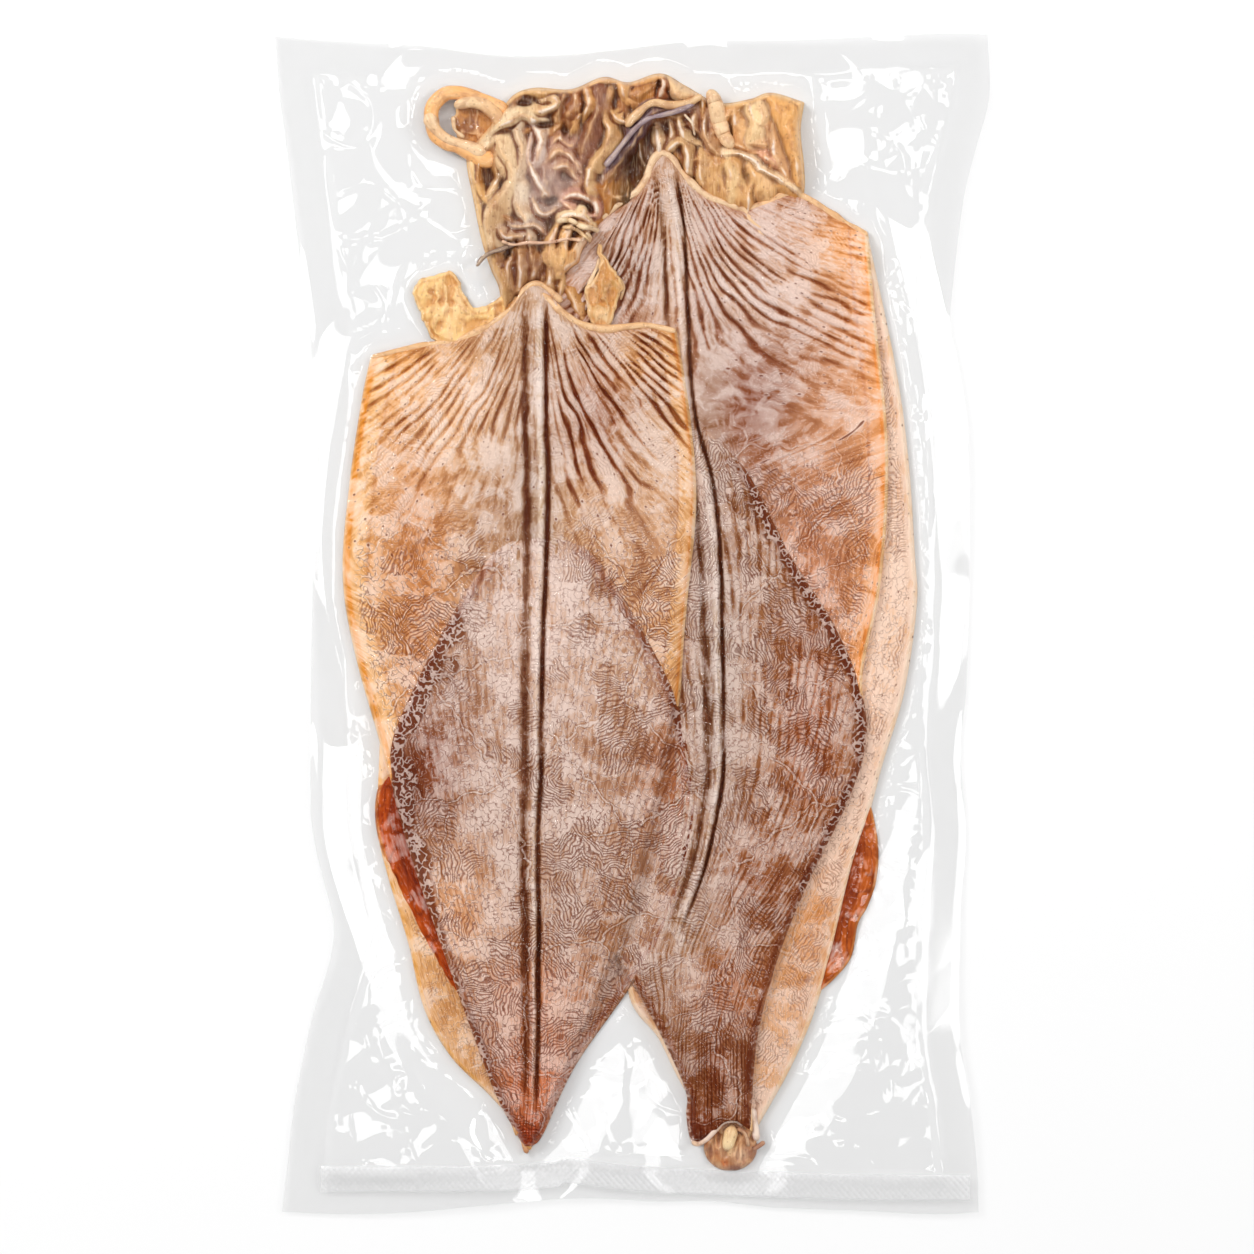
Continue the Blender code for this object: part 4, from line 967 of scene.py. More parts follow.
def right_fins():
    """The right squid's fins: a lens over its lower back, made as the front one's, darker to the tail."""
    top = [RIGHT_FIN_LEFT[0], RIGHT_FIN_RIGHT[0]]
    x, y = patch(top, RIGHT_TAIL, RIGHT_FIN_LEFT, RIGHT_FIN_RIGHT, *RIGHT_FIN_GRID)
    across, along, centre = grain_of(x, y, RIGHT_AXIS, 40.0, 90.0, 120.0)
    depth = depth_inside(x, y, LOOPS["right_fins"])
    inside = sample(DEPTHS["right"], x, y)
    ridge, dark, line = back_ridge(x, y, RIGHT_AXIS, centre, 0.9, 0.6)
    folds = wrinkles(across, along, 53)
    shown = ease((np.abs(x - centre) - 4.0) / 6.0 + (30.0 - y) / 20.0)
    stand = 0.06 + (FIN_THICK - 0.06) * shown
    z = under_level(x, y, "right") + MANTLE_THICK * ease(inside / 5.0 + 0.45)
    z += stand * (0.25 + 0.75 * rounded(depth, 1.6))
    z += ridge + 0.42 * (folds - 0.8) * ease(depth / 4.0) + 0.12 * cloud(x / 3, y / 3, 63)
    tone = paint(x, y, linear("#a0704f"), RIGHT_FIN_TINTS)
    tone = bands(tone, depth, [(0.6, 2.2, "#8a452a", 0.55 * shown), (-1.0, 0.6, "#c58e6c", 0.5 * shown),
                               (3.4, 4.0, "#8f5a40", 0.45 * shown)])
    # Painted shade in the ridge's grooves and a painted highlight on its pale line
    tone = mix(tone, GROOVE_SHADE, 0.85 * dark)
    tone = mix(tone, RIDGE_HIGHLIGHT, 0.5 * line)
    bloom_and_shading = 0.22 * np.exp(-((x - centre) / 18.0) ** 2) + 0.18 * cloud(x / 10, y / 14, 73)
    # Painted light on the fold crests and painted shade in the grooves
    bloom_and_shading += 0.55 * (folds - 0.72) - 0.9 * dark - 0.25 * ease((5.0 - depth) / 4.0) * shown
    bloom_and_shading -= 0.06 * ease((-40.0 - y) / 30.0) + 0.24 * ease((-105.0 - y) / 20.0)
    hatch = 1.0 - 0.3 * np.exp(-((x - centre) / 8.0) ** 2)
    wide = 2.6 * (1.0 - 0.65 * ease((-60.0 - y) / 40.0))
    margin = shown * ease((wide * (1.0 + 1.2 * cloud(x / 6, y / 8, 77)) - depth) / 1.2)
    shades = {"bloom_and_shading": bloom_and_shading, "hatch": hatch, "margin": margin}
    return skin_sheet("right_fins", (x, y, z), tone, shades, (across, along), UNDERSIDE + 0.12)


def back_sheet(name, left, right, outline, base, tints, edge, bloom_level, low, seed):
    """One of the two squid at the back: a pale amber mantle that shows round the front ones.

    Its height is a quarter round along its edge with shallow folds inside, whose valleys carry painted
    shade. edge is its stripes, and its bloom_and_shading fades towards the tail.
    """
    x, y = patch([left[0], right[0]], [left[-1], right[-1]], left, right, *BACK_GRID)
    depth = depth_inside(x, y, LOOPS[outline])
    axis = 0.5 * (curve(left, 200) + curve(right, 200))
    across, along, _ = grain_of(x, y, axis, 40.0, 200.0, 260.0)
    folds = wrinkles(across, along, seed)
    z = UNDERSIDE + BACK_THICK * (0.3 + 0.7 * rounded(depth)) + 0.35 * (folds - 0.8) * ease(depth / 2.0)
    z += 0.08 * cloud(x / 3, y / 3, seed + 4)
    tone = paint(x, y, linear(base), tints)
    # Painted shade in the fold valleys
    tone = mix(tone, linear("#b8743c"), 0.4 * ease((0.7 - folds) / 0.5))
    tone = bands(tone, depth, edge)
    bloom_and_shading = bloom_level * (1.0 - 0.6 * ease((-60.0 - y) / 25.0)) + 0.12 * cloud(x / 9, y / 13, seed + 5)
    hatch = 0.6 * ease((depth - 1.5) / 1.5)
    return skin_sheet(name, (x, y, z), tone, {"bloom_and_shading": bloom_and_shading, "hatch": hatch}, (across, along), low)


def back_fin(name, outer, inner, base, dark, rise, low, seed):
    """The part of a back squid's fin that shows: a thick wavy lobe, orange brown, dark on its inner side.

    Its height is a quarter round from its outer edge with soft noise and thin creases.
    """
    x, y = patch([outer[0], inner[0]], [outer[-1], inner[-1]], outer, inner, *BACK_FIN_GRID)
    away = nearest(x, y, curve(outer, 200))
    creases_in = np.abs(noise(x / 2.2, y / 6.0, seed + 3))
    z = UNDERSIDE + rise + 1.1 * rounded(away, 2.2) + 0.3 * cloud(x / 4, y / 6, seed)
    z -= 0.35 * ease(0.3 - creases_in)
    inner_side = ease((away - 1.8) / 3.5 + 0.6 * cloud(x / 5, y / 8, seed + 1))
    tone = mix(linear(base), linear(dark), 0.85 * inner_side)
    # Painted shade in the thin creases
    tone = mix(tone, linear(dark) * 0.7, 0.7 * ease((0.16 - creases_in) / 0.14))
    tone = bands(tone, away, [(-1.0, 0.7, "#e2a05e", 0.7)])
    shades = {"bloom_and_shading": 0.2 * cloud(x / 4, y / 6, seed + 2) - 0.12, "hatch": np.full(x.shape, 0.15)}
    return skin_sheet(name, (x, y, z), tone, shades, (away, y), low)


def along_line(x, y, line, radius, span):
    """Signed distance to a line in units of a radius that swells along it, and the place along the line.

    It is worked out only near the line: it is negative to the left of the line's direction and span
    beyond its reach.
    """
    distance = np.full(np.shape(x), float(span))
    placed = np.zeros(np.shape(x))
    margin = radius * span * 1.3
    close = ((x > line[:, 0].min() - margin) & (x < line[:, 0].max() + margin)
             & (y > line[:, 1].min() - margin) & (y < line[:, 1].max() + margin))
    px, py = x[close], y[close]
    best = np.full(px.shape, np.inf)
    side = np.zeros(px.shape)
    place = np.zeros(px.shape)
    for index, ((ax, ay), (bx, by)) in enumerate(zip(line[:-1], line[1:])):
        rx, ry = bx - ax, by - ay
        share = np.clip(((px - ax) * rx + (py - ay) * ry) / max(rx * rx + ry * ry, 1e-9), 0.0, 1.0)
        gap = (px - ax - share * rx) ** 2 + (py - ay - share * ry) ** 2
        nearer = gap < best
        best = np.where(nearer, gap, best)
        side = np.where(nearer, np.sign(rx * (py - ay) - ry * (px - ax)), side)
        place = np.where(nearer, (index + share) / (len(line) - 1), place)
    swell = 0.55 + 0.6 * np.sin(math.pi * np.clip(place, 0.02, 0.98)) ** 0.6
    swell *= 1.0 + 0.3 * noise(place * 6.0, place * 0 + line[0, 0], 88)
    distance[close] = -side * np.minimum(np.sqrt(best) / (radius * swell), span)
    placed[close] = place
    return distance, placed


def local_mean(values, reach):
    """Mean of a grid over a square of 2 * reach + 1 cells, from running sums."""
    size = 2 * reach + 1
    for axis in (0, 1):
        borders = [(reach + 1, reach) if i == axis else (0, 0) for i in (0, 1)]
        padded = np.pad(values, borders, mode="edge")
        sums = np.cumsum(padded, axis=axis)
        after, before = np.split(sums, [size], axis=axis)[1], np.split(sums, [-size], axis=axis)[0]
        values = (after - before) / size
    return values


def heads_base(x, y):
    """The smooth level of the heads: soft lumps, lower where the mantles cover them."""
    z = UNDERSIDE + HEADS_THICK * 0.66 + 1.1 * cloud(x / 7, y / 10, 81, 3)
    for (cx, cy), reach, height in HEAD_BLOBS:
        z = z + height * np.exp(-(np.hypot(x - cx, y - cy) / reach) ** 2)
    covered = np.maximum(sample(DEPTHS["right"], x, y), sample(DEPTHS["front"], x, y))
    return z - 2.4 * ease((covered + 2.5) / 5.0)


def heads_field(x, y):
    """Height and colour of the heads: every fold is a ridge whose two sides fall at their own slopes.

    Where ridges meet they blend: the height is FOLD_BLEND times the logarithm of the sum of
    exp(ridge / FOLD_BLEND), and the colour is the mean of the ridges' colours by the same weights.
    """
    u, v = x + 0.9 * cloud(x / 5.0, y / 5.0, 82, 2), y + 0.9 * cloud(x / 5.0, y / 5.0, 86, 2)
    crumple = 0.9 - 2.6 * np.abs(noise(u / 4.5, v / 9.0, 83)) - 0.9 * np.abs(noise(u / 2.2, v / 4.5, 84))
    weight = np.exp(crumple / FOLD_BLEND)
    tone = paint(x, y, linear("#b87630"), HEAD_TINTS) * weight[..., None]
    for index, (route, radius, rise, colour) in enumerate(STRANDS):
        away, place = along_line(u, v, curve(route, 14), 1.15 * radius, FOLD_SPAN)
        side = np.where(away > 0, away / 0.9, -away / 2.0)
        taper = np.sin(math.pi * np.clip(place, 0.04, 0.96)) ** 0.4
        ridge = (1.1 * rise + 1.0 * radius) * (1.3 - 1.3 * np.sqrt(side ** 2 + 0.06)) * taper
        share = np.exp(np.where(np.abs(away) < FOLD_SPAN, ridge, -9.0) / FOLD_BLEND)
        weight = weight + share
        own = mix(linear(colour), HONEY * 0.7, 0.5 * ease(0.1 + noise(x / 3.0, y / 4.0, 120 + index)))
        tone = tone + share[..., None] * own
    z = FOLD_BLEND * np.log(weight)
    for (cx, cy), (rx, ry), deep in HEAD_PITS:
        z = z - 1.2 * deep * np.exp(-(((u - cx) / rx) ** 2 + ((v - cy) / ry) ** 2) ** 1.5)
    return heads_base(x, y) + np.minimum(z, FOLD_TOP), tone / weight[..., None]


def heads_level(x, y):
    """Height of the heads' folds."""
    return heads_field(x, y)[0]


def heads_sheet():
    """The bunched heads: one folded sheet, with cream painted light on its crests, a painted highlight on
    their tops, and painted shade from brown to near black in its creases, hollows and pits.

    The creases are told from the height less its mean nearby. The panel on the right gets less painted
    shade and stays light. The sheet rises from the underside in a quarter round, and HEAD_AMBER deepens
    the knob, the middle and the neck.
    """
    x, y = patch(HEADS_TOP, HEADS_BOTTOM, HEADS_LEFT, HEADS_RIGHT, *HEADS_GRID)
    depth = depth_inside(x, y, LOOPS["heads"])
    z, tone = heads_field(x, y)
    narrow = z - local_mean(z, 5)
    broad = z - local_mean(z, 15)
    z = UNDERSIDE + 0.4 + np.maximum(z - UNDERSIDE - 0.4, 0.0) * rounded(depth, 2.6)
    panel = ease((x - 20.0) / 8.0)
    # Painted light on the crests, painted shade in the narrow creases and, darker, in the broad hollows
    tone = mix(tone, FOLD_PAINTED_LIGHT, 0.65 * ease((narrow - 0.1) / 0.45))
    tone = mix(tone, FOLD_PAINTED_SHADE, (0.9 - 0.45 * panel) * ease((-0.05 - narrow) / 0.4))
    tone = mix(tone, SHADE, (0.85 - 0.55 * panel) * ease((-0.4 - broad) / 1.0))
    # A near-white painted highlight along the tops of the crests
    tone = mix(tone, linear("#fffaf2"), 0.55 * ease((narrow - 0.42) / 0.25))
    # Each hollow also carries painted shade
    for (cx, cy), (rx, ry), deep in HEAD_PITS:
        hollow = np.exp(-(((x - cx) / rx) ** 2 + ((y - cy) / ry) ** 2) ** 1.5)
        tone = mix(tone, SHADE, np.minimum(0.5 * deep, 0.8) * hollow * (1.0 - 0.6 * panel))
    tone = mix(tone, linear("#e9bd84"), 0.7 * ease((1.6 - depth) / 1.2))
    for (cx, cy), (rx, ry), loss in HEAD_AMBER:
        here = np.exp(-((x - cx) / rx) ** 2 - ((y - cy) / ry) ** 2)
        tone = tone * (1.0 - here[..., None] * np.array(loss))
    bloom_and_shading = 0.35 * np.exp(-(((x + 24) / 8) ** 2 + ((y - 122) / 7) ** 2))
    return flesh_sheet("heads", (x, y, z), tone, bloom_and_shading, UNDERSIDE)


def strand_mesh(route, radius, rise, colour, level, flatten, seed):
    """One strand as a tube: its radius swells and thins, its ends are round, its underside is darker with
    painted shade and its top carries a patchy painted highlight.
    """
    rough = curve(route, 40)
    length = np.sum(np.hypot(*np.diff(rough[:, :2], axis=0).T))
    count = max(10, int(length / STRAND_STEP))
    line = curve(route, count)
    along = np.linspace(0.0, length, count)
    swell = 1.0 + 0.35 * noise(along / (radius * 3.5), along * 0 + 0.5, seed)
    to_end = np.minimum(along, length - along)
    closing = np.sqrt(np.clip(1.0 - (1.0 - np.clip(to_end / (radius * 1.2), 0, 1)) ** 2, 0.0, 1.0))
    sizes = radius * swell * np.maximum(closing, 0.06)
    height = level(line[:, 0], line[:, 1]) + rise * closing
    height += 0.2 * noise(along / 4, along * 0 + 2.5, seed + 1)
    path = np.column_stack([line[:, 0], line[:, 1], height])
    points, quads, caps = tube_points(path, sizes, flatten, STRAND_SIDES)
    angle = np.tile(np.linspace(0, 2 * math.pi, STRAND_SIDES, endpoint=False), count)
    around = np.concatenate([angle * radius, [0.0, 0.0]])
    place = np.concatenate([np.repeat(along, STRAND_SIDES), [0.0, length]])
    wobble = 1.0 + 0.05 * noise(around * 1.3, place / 2.0, seed + 2)
    outward = points - np.concatenate([np.repeat(path, STRAND_SIDES, axis=0), path[:1], path[-1:]])
    points = points + outward * (wobble - 1.0)[:, None]
    facing = np.concatenate([np.sin(angle), [0.0, 0.0]])
    tone = np.broadcast_to(linear(colour), (len(points), 3))
    # Painted shade on the underside of the tube
    tone = mix(tone, STRAND_UNDER_SHADE, 0.6 * ease((0.15 - facing) / 0.9))
    tone = mix(tone, HONEY, 0.6 * ease(0.1 + noise(place / 5.0, place * 0 + 7.5, seed + 4)))
    # A patchy painted highlight on the upper face of the tube
    highlight_patches = 0.5 + 0.5 * noise(around, place / 3.0, seed + 3)
    tone = mix(tone, CREAM, 0.45 * ease((facing - 0.5) / 0.5) * highlight_patches)
    return points, quads, caps, tone, np.stack([around, place], axis=1)


def strands_piece(name, strands, level, flatten, seed):
    """Several strands joined into one piece; each has a seed of its own."""
    parts = [strand_mesh(*strand, level, flatten, seed + 7 * i) for i, strand in enumerate(strands)]
    points, quads, caps, tone, fibre = zip(*parts)
    shift = np.cumsum([0] + [len(some) for some in points[:-1]])
    quads = np.concatenate([some + start for some, start in zip(quads, shift)])
    caps = np.concatenate([some + start for some, start in zip(caps, shift)])
    points = np.concatenate(points)
    return make_piece(name, points, [quads, caps], FLESH, np.concatenate(tone),
                      np.concatenate(fibre), {"bloom_and_shading": np.full(len(points), 0.1)})


def dome_piece(name, centre, half, low, top, colour, tints, seed):
    """A lump: the upper part of an ellipsoid from low to top, with creases that run down its length."""
    angle = np.linspace(0, 2 * math.pi, 24, endpoint=False)
    ring = np.stack([half[0] * np.cos(angle), half[1] * np.sin(angle)], axis=1)
    ring += centre
    upper, left, lower, right = ([tuple(ring[(start + step) % 24]) for step in range(7)]
                                 for start in (3, 9, 15, 21))
    x, y = patch(upper[::-1], lower, left, right[::-1], *DOME_GRID)
    depth = np.clip(depth_inside(x, y, curve(ring, 96, closed=True)) / min(half), 0.0, 1.0)
    sway = 0.8 * cloud(x / 3.0, y / 3.0, seed + 4, 2)
    crease = 0.35 - np.abs(noise((x + sway) / 1.3, y / 4.5, seed))
    z = low + (top - low) * np.sqrt(1.0 - (1.0 - depth) ** 2) + 0.9 * crease * ease(depth / 0.4)
    z += 0.35 * cloud(x / 2.0, y / 2.0, seed + 1)
    tone = paint(x, y, linear(colour), tints)
    # Painted light on the crests between the creases and painted shade in the creases
    tone = mix(tone, FOLD_PAINTED_LIGHT, 0.5 * ease((crease - 0.08) / 0.27))
    tone = mix(tone, FOLD_PAINTED_SHADE, 0.5 * ease(-crease / 0.25))
    return flesh_sheet(name, (x, y, z), tone, 0.1 * cloud(x / 3, y / 3, seed + 2), low - 0.6)


def thin_sheet(name, edges, grid, level, colour, tints, seed, folds):
    """A thin crumpled sheet between four ragged edges, with painted light on its raised creases and amber
    hollows.

    edges are the top, bottom, left and right ones, and folds is the height of its creases in mm.
    """
    x, y = patch(*edges, *grid)
    depth = depth_inside(x, y, frame_of(*edges))
    sway = 0.6 * cloud(x / 4, y / 4, seed + 3)
    fold = 0.4 - np.abs(noise(x / 2.8 + sway, y / 7.0, seed))
    fold -= 0.4 * np.abs(noise(x / 2.0, y / 3.0 + sway, seed + 6))
    base = level(x, y)
    ragged_x, ragged_y = (0.9 * cloud(x / 2.6, y / 2.6, seed + more, 2) for more in (4, 5))
    x, y = x + ragged_x, y + ragged_y
    z = base + 0.6 * rounded(depth, 1.0) + folds * fold * ease(depth / 1.5)
    z += 0.2 * cloud(x / 2, y / 2, seed + 1)
    tone = paint(x, y, linear(colour), tints)
    tone = mix(tone, HONEY, 0.8 * ease((0.1 - fold) / 0.35))
    # Painted light on the raised creases
    tone = mix(tone, FOLD_PAINTED_LIGHT, 0.6 * ease((fold - 0.14) / 0.2))
    tone = bands(tone, depth, [(-1.0, 0.6, "#f3cf98", 0.6), (0.7, 1.3, "#c98a45", 0.5)])
    bloom_and_shading = 0.1 * cloud(x / 4, y / 4, seed + 2)
    return flesh_sheet(name, (x, y, z), tone, bloom_and_shading, float(np.min(base)) - 0.3, 0.15)


def widen(raster, fall):
    """The raster raised to its neighbours' height less their distance times fall."""
    padded = np.pad(raster, 1, mode="edge")
    rows, columns = raster.shape
    best = raster.copy()
    for di in (-1, 0, 1):
        for dj in (-1, 0, 1):
            drop = fall * CELL * math.hypot(di, dj)
            best = np.maximum(best, padded[1 + di:1 + di + rows, 1 + dj:1 + dj + columns] - drop)
    return best


def soften(raster, times):
    """The raster averaged with its neighbours."""
    for _ in range(times):
        padded = np.pad(raster, 1, mode="edge")
        raster = 0.25 * (2 * padded[1:-1, 1:-1] + padded[:-2, 1:-1] + padded[2:, 1:-1])
        padded = np.pad(raster, 1, mode="edge")
        raster = 0.25 * (2 * padded[1:-1, 1:-1] + padded[1:-1, :-2] + padded[1:-1, 2:])
    return raster


def highest(pieces, y_end=math.inf):
    """The highest point of the pieces in each cell of the raster, of the points with y below y_end."""
    top = np.zeros(RASTER_SHAPE)
    for piece in pieces:
        flat = np.empty(len(piece.data.vertices) * 3, dtype=np.float32)
        piece.data.vertices.foreach_get("co", flat)
        points = flat.reshape(-1, 3) / MM
        x, y, z = points[points[:, 1] < y_end].T
        column = np.round((x - RASTER_START[0]) / CELL).astype(int)
        row = np.round((y - RASTER_START[1]) / CELL).astype(int)
        np.maximum.at(top, (row, column), z)
    return top


def contents_raster(pieces):
    """The height of film over the pieces: their highest points, stretched tight between them."""
    cover = widen(highest(pieces), 0.0)
    stretched = cover
    for _ in range(9):
        stretched = widen(stretched, FILM_FALL)
    return np.maximum(soften(stretched, 2), cover)


def film_grid(grid):
    """A grid over the whole pouch, and each point's distance from its cut edge."""
    half_width, half_length = POUCH_WIDTH / 2, POUCH_LENGTH / 2 + END_REACH
    edges = ([(x, half_length - inset) for x, inset in TOP_INSET],
             [(x, inset - half_length) for x, inset in BOTTOM_INSET],
             [(inset - half_width, y) for y, inset in LEFT_INSET[::-1]],
             [(half_width - inset, y) for y, inset in RIGHT_INSET[::-1]])
    x, y = patch(*edges, *grid)
    return x, y, depth_inside(x, y, frame_of(*edges, sides=80))


def out_of_contents(x, y):
    """Distance from the nearest of the contents, negative inside them."""
    outlines = list(LOOPS.values()) + [curve(FLAP_OUTLINE, 60, closed=True)]
    depth = np.max([depth_inside(x, y, loop) for loop in outlines], axis=0)
    return np.minimum(-depth, nearest(x, y, curve(LOOP_BAND, 30)) - 3.2)


def creases(x, y):
    """Height of the film's creases: flat triangles 17, 8 and 3 mm across, and sharp narrow ridges."""
    warp_x, warp_y = 4.0 * cloud(x / 30, y / 30, 301, 2), 4.0 * cloud(x / 30, y / 30, 302, 2)
    u, v = x + warp_x, y + warp_y
    large = facets(u / 17 + v / 40, v / 21, 303)
    middle = facets(u / 8 - v / 19, v / 9 + u / 25, 304)
    small = facets(u / 3.4, v / 3.9, 305)
    sharp = np.clip(1.0 - np.abs(noise(u / 9 + 0.3 * v / 9, v / 13, 306)) / 0.12, 0.0, 1.0)
    return 1.3 * large + 0.75 * middle + 0.14 * small + 0.45 * sharp


def film_sheet(name, faces, x, y, z, inset, clinging):
    """One sheet of the film from its grid, welded near its cut edge and clinging by a mask."""
    welded = 1.0 - ease((inset - WELD_WIDTH + 1.5) / 3.0)
    return make_piece(name, listed(x, y, z), [faces], FILM_SHEET, None, listed(x, y),
                      {"welded": welded, "clinging": clinging})


def film_pieces(contents):
    """The pouch itself: a sheet drawn down over the contents, welded along its edge to one below.

    The lower sheet is nearly flat, with the margin's long waves and some creases. Over the margins the
    upper one stands off it by its creases and by gathers near the top edge, less so on the weld. Over the
    contents it rests on their highest points, and a smooth mask leads from one to the other.
    """
    x, y, inset = film_grid(FILM_GRID)
    coarse_x = RASTER_START[0] + CELL * np.arange(0, RASTER_SHAPE[1], 3)
    coarse_y = RASTER_START[1] + CELL * np.arange(0, RASTER_SHAPE[0], 3)
    away = np.kron(out_of_contents(*np.meshgrid(coarse_x, coarse_y)), np.ones((3, 3)))
    away = soften(away[:RASTER_SHAPE[0], :RASTER_SHAPE[1]], 3)

    def back_level(u, v, from_edge):
        """Height of the lower sheet, flat under the contents and near the cut edge."""
        loose = ease((sample(away, u, v) - 4.0) / MARGIN_RAMP)
        crease = creases(u + 31.0, v - 12.0) * 0.35 * ease((from_edge - 9.0) / 6.0)
        return FILM_LOW + margin_level(u, v) * loose + np.maximum(crease, 0.0) * loose

    low = back_level(x, y, inset)
    free = ease((sample(away, x, y) + 0.5) / 4.0)
    weld = ease((inset - WELD_WIDTH) / 3.0)
    gathers = 0.7 * (0.5 - np.abs(noise(x / 5.5, y / 60, 311))) * ease((y - 128.0) / 16.0)
    border = 0.12 * facets(x / 13, y / 15, 312) + 0.1 * noise(x / 30, y / 30, 313)
    slack = np.maximum(creases(x, y) + gathers + 0.9, 0.0)
    lifted = low + FILM_WELDED + weld * (0.35 + slack * 0.75) + (1 - weld) * (border + 0.15)
    lifted = low + FILM_WELDED + (lifted - low - FILM_WELDED) * ease(inset / 1.5)
    over = sample(contents_raster(contents), x, y) + FILM_GAP
    resting = np.maximum(over, low + FILM_GAP)
    z = np.maximum(resting, lifted * free + resting * (1 - free))
    front = film_sheet("film_front", grid_faces(*FILM_GRID), x, y, z, inset, 1.0 - free)
    x, y, inset = film_grid(FILM_BACK_GRID)
    film_sheet("film_back", grid_faces(*FILM_BACK_GRID)[:, ::-1], x, y, back_level(x, y, inset), inset,
               np.zeros(x.size))
    return front


def seal_band(film):
    """The embossed seal across the bottom: a band on the film with small diamonds pressed in it.

    The diamonds are the sum of two crossed waves of SEAL_PITCH, and fade at the band's edges.
    """
    line = curve(SEAL_LINE, 900)
    across = np.linspace(-SEAL_HALF, SEAL_HALF, 34)
    x = np.repeat(line[:, :1], len(across), axis=1).T
    y = (line[:, 1:] + across[None]).T[::-1]
    raster = soften(widen(widen(highest([film], SEAL_END), 0.0), 0.0), 3)
    diamonds = (np.abs(np.sin(math.pi * (x + y * 0.9) / SEAL_PITCH))
                + np.abs(np.sin(math.pi * (x - y * 0.9) / SEAL_PITCH)))
    fade = ease((SEAL_HALF - np.abs(across))[::-1, None] / 0.5)
    z = sample(raster, x, y) + 0.06 + 0.16 * diamonds * 0.5 * fade
    make_piece("seal_band", listed(x, y, z), [grid_faces(*x.shape)], SEAL, None, listed(x, y),
               {"welded": np.ones(x.size), "clinging": np.zeros(x.size)})


def ink(colour):
    """A linear colour with full alpha for a node."""
    return (*(float(part) for part in colour), 1.0)


def new_material(name):
    """A new material with nodes: itself, its tree and its shader."""
    material = bpy.data.materials.new(name)
    material.use_nodes = True
    tree = material.node_tree
    return material, tree, tree.nodes["Principled BSDF"]


def winding(tree, pattern):
    """How far a noise is from its middle value: 0 along lines that wind like worms."""
    offset = add(tree, "ShaderNodeMath", {0: pattern, 1: 0.5}, operation="SUBTRACT")
    return add(tree, "ShaderNodeMath", {0: offset}, operation="ABSOLUTE")


def coat(tree, shader, colour, height, bump, shine):
    """Gives a waxy shader its colour, its shine, and a bump from a height, in metres of BUMP_DEPTH."""
    normal = add(tree, "ShaderNodeBump", {"Height": height, "Strength": bump, "Distance": BUMP_DEPTH})
    tree.links.new(colour, shader.inputs["Base Color"])
    tree.links.new(normal, shader.inputs["Normal"])
    shader.inputs["Roughness"].default_value = WAX_ROUGHNESS
    shader.inputs["Specular IOR Level"].default_value = shine


